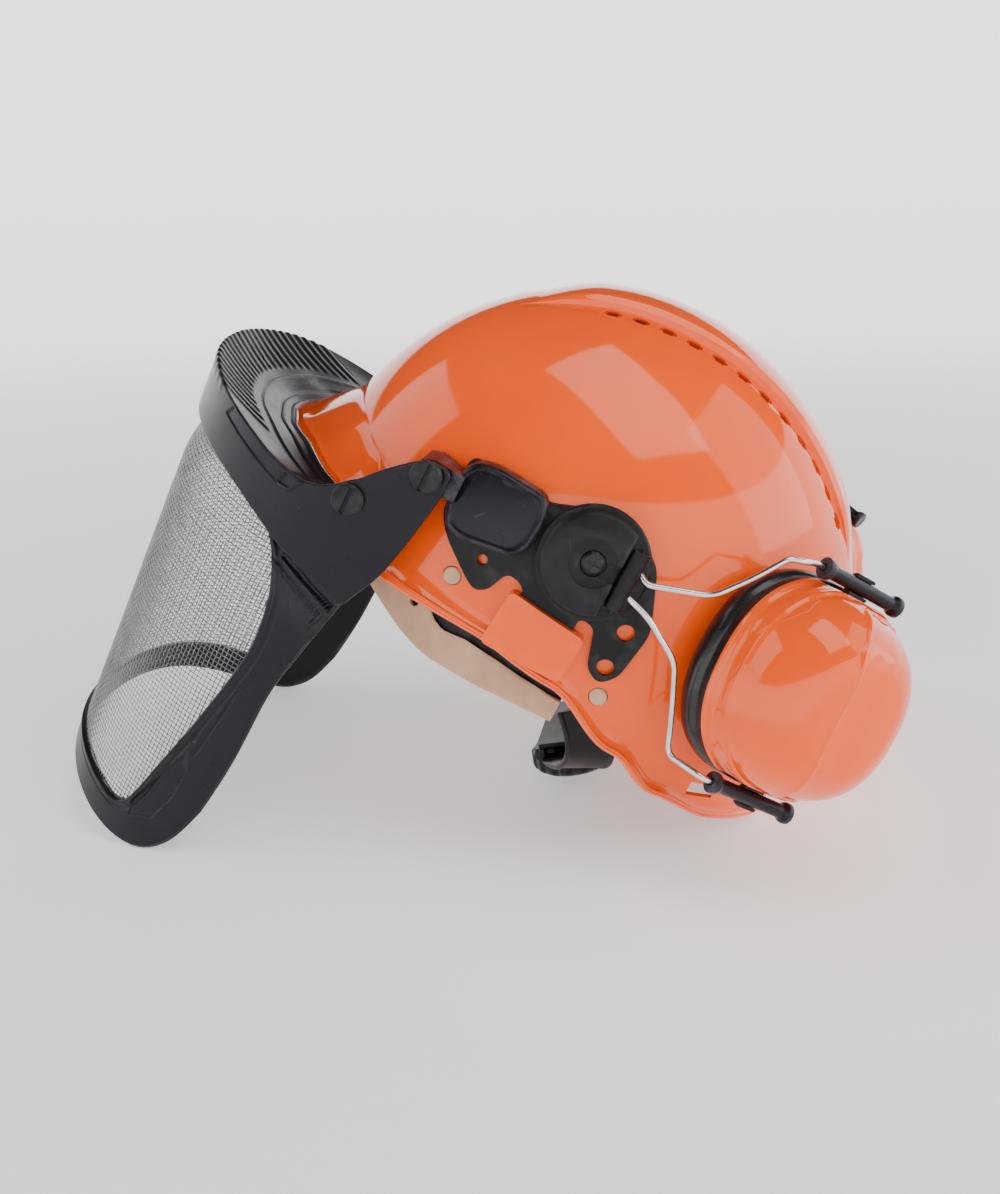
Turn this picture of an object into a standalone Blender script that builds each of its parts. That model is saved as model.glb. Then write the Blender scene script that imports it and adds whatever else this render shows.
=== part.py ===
"""Forestry safety helmet: vented shell, ratchet harness, mesh visor and parked ear muffs.

Everything is modelled in the helmet's own frame, in metres: +X is the wearer's left, -Y the
front, +Z up, with z = 0 near the rim at the ears. One empty pitches that frame back, so that
the helmet lies on a table the way it rests: on the two lower visor tips and the rear rim.
Left-hand pieces are built on the +X side and mirrored for the right hand.
"""
import math

import bmesh
import bpy
from mathutils import Matrix, Vector

# ---------------------------------------------------------------- resting pose
PITCH = math.radians(27.3)          # how far the helmet leans back on its rear rim
REST_SHIFT = Vector((0.0, 0.02585, 0.0956))   # puts the resting footprint over the origin
GAP = 0.0003                        # clearance between touching pieces

# ---------------------------------------------------------------- shell
SHELL_CENTRE_Y = 0.0114
SHELL_CENTRE_Z = 0.019
SHELL_HALF_WIDTH = 0.100
SHELL_FRONT = 0.125                 # centre to front, and centre to rear
SHELL_REAR = 0.131
SHELL_RISE = 0.1285
SHELL_POWER = 2.2                   # roundness of the plan outline
SHELL_WALL = 0.0026
SHELL_SEGMENTS = 40
SHELL_RINGS = 9
# angle from the front (degrees), rim height, brim reach outwards, brim drop
RIM_STATIONS = (
    (0, 0.051, 0.0240, 0.0240), (14, 0.0505, 0.0200, 0.0220), (27, 0.048, 0.0150, 0.0190),
    (42, 0.040, 0.0135, 0.0130), (52, 0.026, 0.0110, 0.009), (62, 0.012, 0.008, 0.006),
    (82, 0.0095, 0.004, 0.004),
    (95, 0.005, 0.004, 0.004), (110, -0.010, 0.004, 0.004), (122, -0.021, 0.004, 0.004),
    (138, -0.026, 0.004, 0.004), (180, -0.028, 0.003, 0.004),
)
RIDGE_HALF_WIDTH = 0.027
RIDGE_RISE = 0.003
RIDGE_FRONT_Y, RIDGE_REAR_Y = -0.062, 0.124
VENT_COUNT = 12
VENT_X = 0.0325
VENT_SIZE = (0.0060, 0.0070, 0.016)
VENT_FIRST, VENT_LAST = math.radians(-15), math.radians(45)
BOSS = ((-0.007, 0.004), (0.029, 0.004), (0.030, 0.025), (-0.005, 0.029))
BOSS_DEPTH = 0.0062
REAR_SLOT = (0.1060, -0.0205)         # y, z of the small rectangular slot in the rear skirt
PIN_SPOTS = {"front": (-0.0290, 0.020), "rear": (0.046, 0.004)}
PIN_RADIUS = 0.0037

# ---------------------------------------------------------------- side carrier
PLATE_THICK = 0.0025
PLATE_OUTLINE = (
    (-0.044, 0.066), (-0.008, 0.065), (0.006, 0.0705), (0.028, 0.0715), (0.042, 0.062),
    (0.052, 0.038), (0.049, 0.016), (0.043, 0.010), (0.036, 0.014), (0.031, 0.0305),
    (0.0240, 0.0315), (0.0240, 0.008), (-0.0005, 0.008), (-0.0005, 0.0315),
    (-0.0095, 0.034), (-0.0135, 0.0235), (-0.0185, 0.0205), (-0.0235, 0.0230),
    (-0.0390, 0.034), (-0.0450, 0.042),
)
PLATE_HOLES = ((0.0430, 0.0340, 0.0036), (0.0425, 0.0175, 0.0036), (-0.0210, 0.0330, 0.0022))
BRACKET_OUTLINE = (
    (-0.0445, 0.0470), (-0.0400, 0.0385), (-0.0330, 0.0375), (-0.0110, 0.0420),
    (-0.0065, 0.0480), (-0.0055, 0.0610), (-0.0095, 0.0685), (-0.0300, 0.0690),
    (-0.0400, 0.0670), (-0.0445, 0.0610),
)
BRACKET_THICK = 0.0080
PIVOT = Vector((0.1052, -0.055, 0.0545))    # visor hinge, on the left wing
BROW_SCREW = Vector((0.1052, -0.079, 0.031))
SCREW_HEAD, SCREW_SHANK = 0.0068, 0.0026

# ---------------------------------------------------------------- visor and brow guard
VISOR_HALF_WIDTH = 0.106
VISOR_BACK_Y = -0.079               # where the curved front meets the flat sides
VISOR_DEPTH_TOP, VISOR_DEPTH_BOTTOM = 0.0945, 0.0866
VISOR_DEPTH_TOP_Z, VISOR_DEPTH_BOTTOM_Z = 0.012, -0.151
VISOR_POWER = 2.2
GUARD_WALL = 0.0026
GUARD_STATIONS = (                  # y, lower edge, upper edge of the guard's wall
    (-0.0465, 0.0480, 0.0585), (-0.0480, 0.0380, 0.0600), (-0.0510, 0.0220, 0.0610),
    (-0.0545, 0.0080, 0.0608), (-0.0590, -0.0020, 0.0595), (-0.0640, -0.0110, 0.0555),
    (-0.0720, -0.0085, 0.0480), (-0.0800, -0.0060, 0.0395), (-0.0890, -0.0035, 0.0320),
    (-0.1000, 0.0005, 0.0285), (-0.1150, 0.0065, 0.0305), (-0.1300, 0.0115, 0.0345),
    (-0.1500, 0.0160, 0.0395), (-0.1650, 0.0178, 0.0430), (-0.1735, 0.0185, 0.0450),
)
GUARD_PLATE_THICK = 0.0024
PEAK_CLEARANCE = 0.0022
FRAME_THICK = 0.0028
FRAME_INSET_BELOW, FRAME_INSET_BEHIND = 0.0003, 0.0041   # clear of the guard, and behind it
FRAME_FLARE = 0.024                 # height over which the frame comes out from behind it
# outer edge (y, z) and opening edge (y, z) of the visor frame, from the chin centre round the
# side to the brow centre; y values beyond the curved front mean its centre line
FRAME_STATIONS = (
    (-0.1655, -0.1555, -0.1655, -0.1420), (-0.1620, -0.1560, -0.1620, -0.1420),
    (-0.1480, -0.1580, -0.1490, -0.1425), (-0.1280, -0.1605, -0.1340, -0.1445),
    (-0.1120, -0.1605, -0.1230, -0.1455), (-0.0980, -0.1570, -0.1160, -0.1420),
    (-0.0870, -0.1470, -0.1120, -0.1340), (-0.0795, -0.1290, -0.1075, -0.1190),
    (-0.0755, -0.0990, -0.0990, -0.0900), (-0.0740, -0.0620, -0.0920, -0.0600),
    (-0.0700, -0.0400, -0.0900, -0.0420), (-0.0645, -0.0150, -0.0920, -0.0240),
    (-0.0620, -0.0010, -0.0970, -0.0120), (-0.0740, 0.0010, -0.1010, -0.0050),
    (-0.0890, 0.0040, -0.1070, 0.0020), (-0.1060, 0.0095, -0.1150, 0.0080),
    (-0.1230, 0.0155, -0.1260, 0.0120), (-0.1430, 0.0210, -0.1430, 0.0170),
    (-0.1600, 0.0240, -0.1600, 0.0195), (-0.1735, 0.0250, -0.1735, 0.0205),
)
MESH_SINK, MESH_THICK, MESH_MARGIN = 0.0010, 0.0008, 0.0006

# ---------------------------------------------------------------- ear muffs
HUB_CENTRE = Vector((0.1005, 0.018, 0.054))
HUB_TILT = math.radians(12)         # the hub leans with the shell's side
HUB_RADIUS = 0.0230
HUB_BASE, HUB_FACE = 0.0050, 0.0115 # height of the base disc and of the raised face
HUB_CHORD = 0.0105                  # where the raised face is cut straight for the wires
HOLDER_REACH, HOLDER_HEIGHT, HOLDER_RADIUS = 0.0150, 0.0093, 0.0036
HOLDER_HALF_LENGTH = 0.0125
HINGE_PIN_RADIUS, HINGE_PIN_HALF_LENGTH = 0.0010, 0.0138
WIRE_SEAT = 0.0024                  # the wires end this far from the barrel's axis
WIRE_RADIUS = 0.0015
CUP_TURN = math.radians(31)         # the cup faces this far back from straight sideways
CUP_ROLL = math.radians(-7)
CUP_LEAN = math.radians(13)         # the cup leans in with the shell
CUP_CENTRE = Vector((0.0985, 0.1160, 0.0465))
CUP_HALF_HEIGHT, CUP_HALF_LENGTH, CUP_POWER = 0.0445, 0.0405, 2.3
CUP_RIM, CUP_TOP, CUP_WALL = -0.0075, 0.0330, 0.0030   # levels along the cup's axis
CUSHION_FACE, CUSHION_BACK = -0.0258, -0.0120
BACKPLATE_BACK = -0.0078
CUP_SHOULDER, CUP_SET_IN, CUP_CROWN = 0.0020, 0.0016, 0.0260
SLIDER_RADIUS, PIN_SIZE = 0.0047, 0.0020
ROD_OFFSET = 0.0468                 # cup centre to each guide rod
ROD_HALF_LENGTH, ROD_RADIUS, ROD_FLARE = 0.0215, 0.0030, 0.0044
UPPER_WIRE = ((0.1120, 0.0400, 0.0590), (0.1120, 0.0640, 0.0675), (0.1110, 0.0740, 0.0810),
              (0.1085, 0.0820, 0.0935), (0.1075, 0.0870, 0.0945))
LOWER_WIRE = ((0.1120, 0.0460, 0.0480), (0.1120, 0.0640, 0.0370), (0.1115, 0.0720, 0.0200),
              (0.1100, 0.0800, 0.0010))

# ---------------------------------------------------------------- harness
BAND_HALF_WIDTH, BAND_FRONT, BAND_CENTRE_Y = 0.0770, 0.0950, 0.0
BAND_END_Y = 0.044
BAND_THICK = 0.0020
STRAP_WIDTH, STRAP_THICK = 0.018, 0.0016
STRAP_TOP = 0.1130
KNOB_CENTRE = Vector((0.0, 0.0545, -0.0595))
KNOB_TILT = math.radians(37)        # knob axis, back from straight down
KNOB_RADIUS, KNOB_DEPTH = 0.0205, 0.0130


# ================================================================ helpers
def clear_scene():
    for item in list(bpy.data.objects):
        bpy.data.objects.remove(item, do_unlink=True)


def make_material(name, colour, roughness, metallic=0.0):
    mat = bpy.data.materials.new(name)
    mat.use_nodes = True
    shader = mat.node_tree.nodes["Principled BSDF"]
    shader.inputs["Base Color"].default_value = (*colour, 1.0)
    shader.inputs["Roughness"].default_value = roughness
    shader.inputs["Metallic"].default_value = metallic
    mat.diffuse_color = (*colour, 1.0)
    return mat


def add_part(name, bm, mat, origin=(0, 0, 0), hand=1, sharp=35):
    """Turn a bmesh in the helmet frame into an object; hand -1 mirrors it to the right."""
    if hand < 0:
        bmesh.ops.scale(bm, vec=(-1, 1, 1), verts=bm.verts)
        bmesh.ops.reverse_faces(bm, faces=bm.faces)
    origin = Vector(origin)
    if hand < 0:
        origin = Vector((-origin.x, origin.y, origin.z))
    bmesh.ops.translate(bm, vec=-origin, verts=bm.verts)
    mesh = bpy.data.meshes.new(name)
    bm.to_mesh(mesh)
    bm.free()
    mesh.shade_smooth()
    mesh.set_sharp_from_angle(angle=math.radians(sharp))
    mesh.materials.append(mat)
    obj = bpy.data.objects.new(name, mesh)
    bpy.context.scene.collection.objects.link(obj)
    obj.parent = HELMET
    obj.location = origin
    return obj


def boolean(obj, bm, operation, hand=1):
    """Cut or join a bmesh in the helmet frame with an object."""
    tool = add_part(obj.name + "_tool_" + operation.lower(), bm, obj.data.materials[0], hand=hand)
    tool.hide_render = True
    tool.hide_viewport = True
    tool.display_type = "WIRE"
    mod = obj.modifiers.new(operation.title(), "BOOLEAN")
    mod.operation = operation
    mod.object = tool
    mod.solver = "EXACT"


def loft(rings, closed=True, capped=True):
    """Skin a list of equal point rings; closed joins each ring's ends."""
    bm = bmesh.new()
    rows = [[bm.verts.new(p) for p in ring] for ring in rings]
    count = len(rows[0])
    for a, b in zip(rows, rows[1:]):
        for i in range(count if closed else count - 1):
            j = (i + 1) % count
            bm.faces.new((a[i], a[j], b[j], b[i]))
    if capped:
        bm.faces.new(list(reversed(rows[0])))
        bm.faces.new(rows[-1])
    bmesh.ops.recalc_face_normals(bm, faces=bm.faces)
    return bm


def ring_loft(rings):
    """Skin closed rings into a closed ring of rings, such as a band with a section."""
    bm = loft(rings + [rings[0]], capped=False)
    bmesh.ops.remove_doubles(bm, verts=bm.verts, dist=1e-7)
    bmesh.ops.recalc_face_normals(bm, faces=bm.faces)
    return bm


def smooth_steps(points, steps, closed=False):
    """A Catmull-Rom curve through tuples of numbers, with a number of steps per span."""
    count = len(points)
    out = []
    for i in range(count if closed else count - 1):
        quad = []
        for k in (i - 1, i, i + 1, i + 2):
            quad.append(points[k % count] if closed else points[min(max(k, 0), count - 1)])
        for s in range(steps):
            t = s / steps
            out.append(tuple(
                0.5 * (2 * b + (c - a) * t + (2 * a - 5 * b + 4 * c - d) * t * t
                       + (3 * b - a - 3 * c + d) * t ** 3)
                for a, b, c, d in zip(*quad)))
    if not closed:
        out.append(tuple(points[-1]))
    return out


def between(stations, key):
    """Read the columns of a table of stations at a key, with a smooth blend."""
    rows = sorted(stations)
    key = min(max(key, rows[0][0]), rows[-1][0])
    for low, high in zip(rows, rows[1:]):
        if key <= high[0]:
            t = (key - low[0]) / (high[0] - low[0])
            t = t * t * (3 - 2 * t)
            return [a + (b - a) * t for a, b in zip(low[1:], high[1:])]
    return list(rows[-1][1:])


def frame_matrix(origin, x_axis, y_axis, z_axis):
    rotation = Matrix((x_axis, y_axis, z_axis)).transposed()
    return Matrix.Translation(origin) @ rotation.to_4x4()


def turned(profile, matrix, segments=24):
    """A solid of revolution about local Z; the profile is (radius, height) from axis to axis."""
    rings = []
    for radius, height in profile:
        rings.append([matrix @ Vector((radius * math.cos(a), radius * math.sin(a), height))
                      for a in (math.tau * k / segments for k in range(segments))])
    return loft(rings)


def cylinder(matrix, radius, low, high, segments=20):
    return turned(((radius, low), (radius, high)), matrix, segments)


def block(size, centre, matrix=Matrix.Identity(4)):
    bm = bmesh.new()
    bmesh.ops.create_cube(bm, size=1.0)
    bmesh.ops.scale(bm, vec=size, verts=bm.verts)
    bmesh.ops.translate(bm, vec=centre, verts=bm.verts)
    bmesh.ops.transform(bm, matrix=matrix, verts=bm.verts)
    return bm


def bar(points, radius, sides=10):
    """A round bar through points, with flat ends."""
    points = [Vector(p) for p in points]
    rings = []
    normal = Vector((0.2, 0.1, 1.0))
    for i, p in enumerate(points):
        ahead = points[min(i + 1, len(points) - 1)] - points[max(i - 1, 0)]
        ahead.normalize()
        side = ahead.cross(normal).normalized()
        normal = side.cross(ahead)
        rings.append([p + radius * (math.cos(a) * side + math.sin(a) * normal)
                      for a in (math.tau * k / sides for k in range(sides))])
    return loft(rings)


def merge(*parts):
    """Several closed bodies in one bmesh, for cutters."""
    whole = bmesh.new()
    for bm in parts:
        mesh = bpy.data.meshes.new("merge")
        bm.to_mesh(mesh)
        bm.free()
        whole.from_mesh(mesh)
        bpy.data.meshes.remove(mesh)
    return whole


# ================================================================ shell surface
def plan_point(angle, scale, grow=0.0):
    """Point of the shell's plan outline at an angle from the front, at a scale of its size."""
    s, c = math.sin(angle), math.cos(angle)
    e = 2 / SHELL_POWER
    reach = (SHELL_FRONT if c > 0 else SHELL_REAR) * scale + grow
    x = (SHELL_HALF_WIDTH * scale + grow) * math.copysign(abs(s) ** e, s)
    y = SHELL_CENTRE_Y - reach * math.copysign(abs(c) ** e, c)
    return x, y


def side_x(y, z, grow=0.0):
    """Half-width of the shell's outside at a height, grown by a clearance."""
    up = max(z - SHELL_CENTRE_Z, 0.0) / (SHELL_RISE + grow)
    scale = math.sqrt(max(1 - up * up, 1e-6))
    reach = (SHELL_FRONT if y < SHELL_CENTRE_Y else SHELL_REAR) + grow
    along = min(abs(y - SHELL_CENTRE_Y) / (reach * scale), 0.999)
    return (SHELL_HALF_WIDTH + grow) * scale * (1 - along ** SHELL_POWER) ** (1 / SHELL_POWER)


def dome_z(x, y, grow=0.0):
    """Height of the shell's outside over a point of its plan."""
    reach = SHELL_FRONT if y < SHELL_CENTRE_Y else SHELL_REAR
    k = ((abs(x) / SHELL_HALF_WIDTH) ** SHELL_POWER
         + (abs(y - SHELL_CENTRE_Y) / reach) ** SHELL_POWER) ** (1 / SHELL_POWER)
    return SHELL_CENTRE_Z + (SHELL_RISE + grow) * math.sqrt(max(1 - k * k, 0.0))


def rim_point(angle, share):
    """A point on the brim: share 0 is where it leaves the dome, share 1 its outer edge."""
    turn = abs(math.degrees(math.atan2(math.sin(angle), math.cos(angle))))
    height, reach, drop = between(RIM_STATIONS, turn)
    up = max(height - SHELL_CENTRE_Z, 0.0) / SHELL_RISE
    scale = math.sqrt(1 - up * up)
    x, y = plan_point(angle, scale)
    ahead, behind = plan_point(angle + 0.01, scale), plan_point(angle - 0.01, scale)
    out = Vector((ahead[1] - behind[1], behind[0] - ahead[0], 0)).normalized()
    if out.dot(Vector((x, y - SHELL_CENTRE_Y, 0))) < 0:
        out = -out
    return Vector((x, y, height)) + out * reach * share - Vector((0, 0, drop * share))


def shell_column(angle):
    """Points from just below the crown down to the brim's edge at one angle."""
    top = rim_point(angle, 0.0)
    if top.z > SHELL_CENTRE_Z:
        last = math.acos((top.z - SHELL_CENTRE_Z) / SHELL_RISE)
    else:
        last = math.pi / 2 + (SHELL_CENTRE_Z - top.z) / SHELL_RISE
    column = []
    for ring in range(1, SHELL_RINGS + 1):
        climb = last * ring / SHELL_RINGS
        if climb <= math.pi / 2:
            scale, z = math.sin(climb), SHELL_CENTRE_Z + SHELL_RISE * math.cos(climb)
        else:
            scale, z = 1.0, SHELL_CENTRE_Z - (climb - math.pi / 2) * SHELL_RISE
        x, y = plan_point(angle, scale)
        column.append(Vector((x, y, z)))
    column += [rim_point(angle, share) for share in (0.5, 1.0)]
    return column


def conformed(outline, inner, outer=None, face_x=None, step=0.009):
    """A plate on the shell's side: an outline in y and z, cut in strips so that it can bend.

    inner and outer are heights above the shell; face_x gives a flat outer face instead.
    """
    flat = bmesh.new()
    flat.faces.new([flat.verts.new((0, y, z)) for y, z in outline])
    for axis in (1, 2):
        low = min(p[axis - 1] for p in outline)
        high = max(p[axis - 1] for p in outline)
        cuts = max(int((high - low) / step), 1)
        normal = Vector((0, 1, 0)) if axis == 1 else Vector((0, 0, 1))
        for k in range(1, cuts):
            level = normal * (low + (high - low) * k / cuts)
            bmesh.ops.bisect_plane(flat, geom=flat.verts[:] + flat.edges[:] + flat.faces[:],
                                   plane_co=level, plane_no=normal, dist=1e-5)
    bmesh.ops.triangulate(flat, faces=flat.faces[:])
    back = {v: Vector((side_x(v.co.y, v.co.z) + inner, v.co.y, v.co.z)) for v in flat.verts}
    front = {}
    for v in flat.verts:
        x = face_x if face_x is not None else side_x(v.co.y, v.co.z) + outer
        front[v] = Vector((x, v.co.y, v.co.z))
    bm = bmesh.new()
    lower = {v: bm.verts.new(p) for v, p in back.items()}
    upper = {v: bm.verts.new(p) for v, p in front.items()}
    for f in flat.faces:
        bm.faces.new([lower[v] for v in f.verts])
        bm.faces.new([upper[v] for v in reversed(f.verts)])
    for e in flat.edges:
        if len(e.link_faces) == 1:
            a, b = e.verts
            bm.faces.new((lower[a], lower[b], upper[b], upper[a]))
    flat.free()
    bmesh.ops.recalc_face_normals(bm, faces=bm.faces)
    return bm


def side_matrix(y, z, x=0.0):
    """A frame whose local Z points out to the left at a height and depth."""
    return frame_matrix(Vector((x, y, z)), Vector((0, 1, 0)), Vector((0, 0, 1)), Vector((1, 0, 0)))


def build_shell():
    columns = [shell_column(math.tau * k / SHELL_SEGMENTS) for k in range(SHELL_SEGMENTS)]
    bm = loft([list(ring) for ring in zip(*columns)], capped=False)
    crown = bm.verts.new((0, SHELL_CENTRE_Y, SHELL_CENTRE_Z + SHELL_RISE))
    edges = [e for e in bm.edges if e.is_boundary and all(
        v.co.z > SHELL_CENTRE_Z + SHELL_RISE * 0.9 for v in e.verts)]
    for e in edges:
        bm.faces.new((*e.verts, crown))
    bmesh.ops.recalc_face_normals(bm, faces=bm.faces)
    bmesh.ops.solidify(bm, geom=bm.faces[:], thickness=SHELL_WALL)
    bmesh.ops.recalc_face_normals(bm, faces=bm.faces)
    shell = add_part("shell", bm, ORANGE)
    boolean(shell, ridge_strip(), "UNION")
    for hand in (1, -1):
        boolean(shell, conformed(BOSS, -0.001, BOSS_DEPTH, step=0.012), "UNION", hand)
    cutters = [vent_cutter(k) for k in range(VENT_COUNT)]
    cutters.append(block((0.030, 0.012, 0.0060), (0.080, *REAR_SLOT)))
    for y, z in PIN_SPOTS.values():
        cutters.append(cylinder(side_matrix(y, z), PIN_RADIUS + GAP, 0.08, 0.11, 16))
    cutters.append(tongue_slot())
    for hand in (1, -1):
        copies = [c.copy() for c in cutters]
        boolean(shell, merge(*copies), "DIFFERENCE", hand)
    for c in cutters:
        c.free()
    return shell


def ridge_strip():
    """The raised band along the crown, sunk a little into the wall so that it joins it."""
    rings = []
    steps, across = 14, 4
    first = math.asin((RIDGE_FRONT_Y - SHELL_CENTRE_Y) / SHELL_FRONT)
    last = math.asin((RIDGE_REAR_Y - SHELL_CENTRE_Y) / SHELL_REAR)
    for k in range(steps + 1):
        turn = first + (last - first) * k / steps
        y = SHELL_CENTRE_Y + (SHELL_FRONT if turn < 0 else SHELL_REAR) * math.sin(turn)
        fade = min(1.0, 4 * k / steps, 5 * (steps - k) / steps)
        lift = RIDGE_RISE * fade - 0.0006 * (1 - fade)
        xs = [RIDGE_HALF_WIDTH * (2 * i / across - 1) for i in range(across + 1)]
        top = [Vector((x, y, dome_z(x, y) + lift)) for x in xs]
        low = [Vector((x, y, dome_z(x, y) - 0.0019)) for x in reversed(xs)]
        rings.append(top + low)
    return loft(rings)


def vent_cutter(k):
    turn = VENT_FIRST + (VENT_LAST - VENT_FIRST) * k / (VENT_COUNT - 1)
    y = SHELL_CENTRE_Y + SHELL_REAR * math.sin(turn)
    step = 0.001
    slope = (dome_z(VENT_X, y + step) - dome_z(VENT_X, y - step)) / (2 * step)
    lean = (dome_z(VENT_X + step, y) - dome_z(VENT_X - step, y)) / (2 * step)
    along = Vector((0, 1, slope)).normalized()
    up = Vector((-lean, -slope, 1)).normalized()
    matrix = frame_matrix(Vector((VENT_X, y, dome_z(VENT_X, y))), along.cross(up), along, up)
    return block(VENT_SIZE, (0, 0, 0), matrix)


def tongue_slot():
    """The slot behind the side boss that takes the carrier's tongue."""
    outline = ((-0.0012, -0.006), (0.0248, -0.006), (0.0248, 0.040), (-0.0012, 0.040))
    return conformed(outline, 0.0, PLATE_THICK + 2 * GAP, step=0.012)


# ================================================================ side carrier
def build_carrier(side, hand):
    plate = add_part("side_plate_" + side,
                     conformed(PLATE_OUTLINE, GAP, GAP + PLATE_THICK), BLACK, hand=hand)
    holes = [cylinder(side_matrix(y, z), r, 0.08, 0.115, 16) for y, z, r in PLATE_HOLES]
    holes.append(cylinder(hub_matrix(), SCREW_SHANK + GAP, -0.010, 0.010, 16))
    boolean(plate, merge(*holes), "DIFFERENCE", hand)

    base = PLATE_THICK + 3 * GAP
    bracket = add_part("visor_bracket_" + side,
                       conformed(BRACKET_OUTLINE, base, base + BRACKET_THICK, step=0.014),
                       BLACK_SATIN, hand=hand)
    arm_top = PIVOT.x - GUARD_WALL / 2 - 0.0012
    arm = conformed(((-0.0415, 0.0490), (-0.0415, 0.0600), (-0.0550, 0.0610), (-0.0600, 0.0590),
                     (-0.0615, 0.0545), (-0.0600, 0.0500), (-0.0550, 0.0480)),
                    base, face_x=arm_top, step=0.02)
    boolean(bracket, arm, "UNION", hand)
    boolean(bracket, cylinder(side_matrix(PIVOT.y, PIVOT.z), SCREW_SHANK + GAP, 0.090, 0.115, 16),
            "DIFFERENCE", hand)

    outside = PIVOT.x + GUARD_WALL / 2 + 0.0006
    screw(f"visor_pivot_screw_{side}", PIVOT, 0.0915, outside, hand)
    return plate


def screw(name, spot, tip_x, seat_x, hand, head=SCREW_HEAD):
    """A slotted screw lying along X, its head outside."""
    matrix = side_matrix(spot.y, spot.z)
    profile = ((SCREW_SHANK, tip_x), (SCREW_SHANK, seat_x), (head, seat_x),
               (head, seat_x + 0.0016), (head * 0.86, seat_x + 0.0026))
    item = add_part(name, turned(profile, matrix, 18), BLACK_SATIN, spot, hand)
    slot = block((0.0022, 0.0018, head * 1.7), (seat_x + 0.0026, spot.y, spot.z))
    boolean(item, slot, "DIFFERENCE", hand)
    return item


# ================================================================ visor
def visor_depth(z):
    share = (z - VISOR_DEPTH_BOTTOM_Z) / (VISOR_DEPTH_TOP_Z - VISOR_DEPTH_BOTTOM_Z)
    return VISOR_DEPTH_BOTTOM + (VISOR_DEPTH_TOP - VISOR_DEPTH_BOTTOM) * share


def visor_angle(y):
    """Turn from the chin or brow centre for a depth on the curved front."""
    share = min(max((VISOR_BACK_Y - y) / VISOR_DEPTH_TOP, 0.0), 1.0)
    return math.acos(share ** (VISOR_POWER / 2))


def travel(y):
    """Distance-like coordinate round the visor: 0 at the front centre, 1 where it turns flat."""
    if y >= VISOR_BACK_Y:
        return 1.0 + (y - VISOR_BACK_Y) / 0.12
    return visor_angle(y) / (math.pi / 2)


def visor_point(along, z, inset=0.0):
    """A point of the visor's wall at a travel coordinate and a height."""
    half = VISOR_HALF_WIDTH - inset
    turn = min(abs(along), 1.0) * math.pi / 2
    e = 2 / VISOR_POWER
    x = half * math.sin(turn) ** e
    y = VISOR_BACK_Y - (visor_depth(z) - inset) * max(math.cos(turn), 0.0) ** e
    if abs(along) > 1.0:
        y = VISOR_BACK_Y + (abs(along) - 1.0) * 0.12
    return Vector((math.copysign(x, along) if along else 0.0, y, z))


def thick_sheet(grid, inner_grid):
    """A closed body between two equal open grids of points."""
    rings = [row + list(reversed(back)) for row, back in zip(grid, inner_grid)]
    return loft(rings)


def guard_levels(along):
    table = [(travel(y), low, high) for y, low, high in GUARD_STATIONS]
    return between_linear(table, abs(along))


def between_linear(stations, key):
    rows = sorted(stations)
    key = min(max(key, rows[0][0]), rows[-1][0])
    for low, high in zip(rows, rows[1:]):
        if key <= high[0]:
            t = (key - low[0]) / (high[0] - low[0])
            return [a + (b - a) * t for a, b in zip(low[1:], high[1:])]
    return list(rows[-1][1:])


def build_brow_guard():
    sides = sorted({round(travel(s[0]), 6) for s in GUARD_STATIONS[:-1]}, reverse=True)
    front = [0.42 * (1 - 2 * k / 12) for k in range(13)]
    stops = [s for s in sides if s > 0.46] + front + [-s for s in reversed(sides) if s > 0.46]
    rows, inner = [], []
    for along in stops:
        low, high = guard_levels(along)
        heights = [low, (low + high) / 2, high]
        rows.append([visor_point(along, z) for z in heights])
        inner.append([visor_point(along, z, GUARD_WALL) for z in heights])
    guard = add_part("brow_guard", thick_sheet(rows, inner), BLACK_SATIN,
                     origin=(0, PIVOT.y, PIVOT.z))
    boolean(guard, guard_plate(), "UNION")
    for hand in (1, -1):
        boss = cylinder(side_matrix(BROW_SCREW.y, BROW_SCREW.z), 0.0062,
                        BROW_SCREW.x - 0.0072, BROW_SCREW.x - 0.0008, 16)
        boolean(guard, boss, "UNION", hand)
        holes = [cylinder(side_matrix(PIVOT.y, PIVOT.z), SCREW_SHANK + GAP, 0.098, 0.112, 16),
                 cylinder(side_matrix(BROW_SCREW.y, BROW_SCREW.z), SCREW_SHANK + GAP,
                          BROW_SCREW.x - 0.0052, 0.112, 16)]
        boolean(guard, merge(*holes), "DIFFERENCE", hand)
    return guard


def guard_plate():
    """The sloping top between the guard's rim and the helmet's peak."""
    rings = []
    count = 24
    for k in range(count + 1):
        along = 0.80 * (1 - 2 * k / count)
        _, high = guard_levels(along)
        outer = visor_point(along, high - 0.0006, 0.0010)
        heading = math.atan2(abs(outer.x), -(outer.y - SHELL_CENTRE_Y))
        edge = peak_edge(heading)
        edge.x = math.copysign(edge.x, outer.x)
        away = Vector((outer.x - edge.x, outer.y - edge.y, 0))
        inner = Vector((edge.x, edge.y, edge.z - 0.001)) + away.normalized() * PEAK_CLEARANCE
        middle = outer.lerp(inner, 0.5) - Vector((0, 0, 0.0025))
        down = Vector((0, 0, GUARD_PLATE_THICK))
        rings.append([outer, middle, inner, inner - down, middle - down, outer - down])
    return loft(rings)


def peak_edge(heading):
    """Outer edge of the helmet's peak in the direction of a heading from the shell's centre."""
    low, high = 0.0, math.pi / 2
    for _ in range(30):
        mid = (low + high) / 2
        p = rim_point(mid, 1.0)
        if math.atan2(p.x, -(p.y - SHELL_CENTRE_Y)) < heading:
            low = mid
        else:
            high = mid
    return rim_point((low + high) / 2, 1.0)


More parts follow.
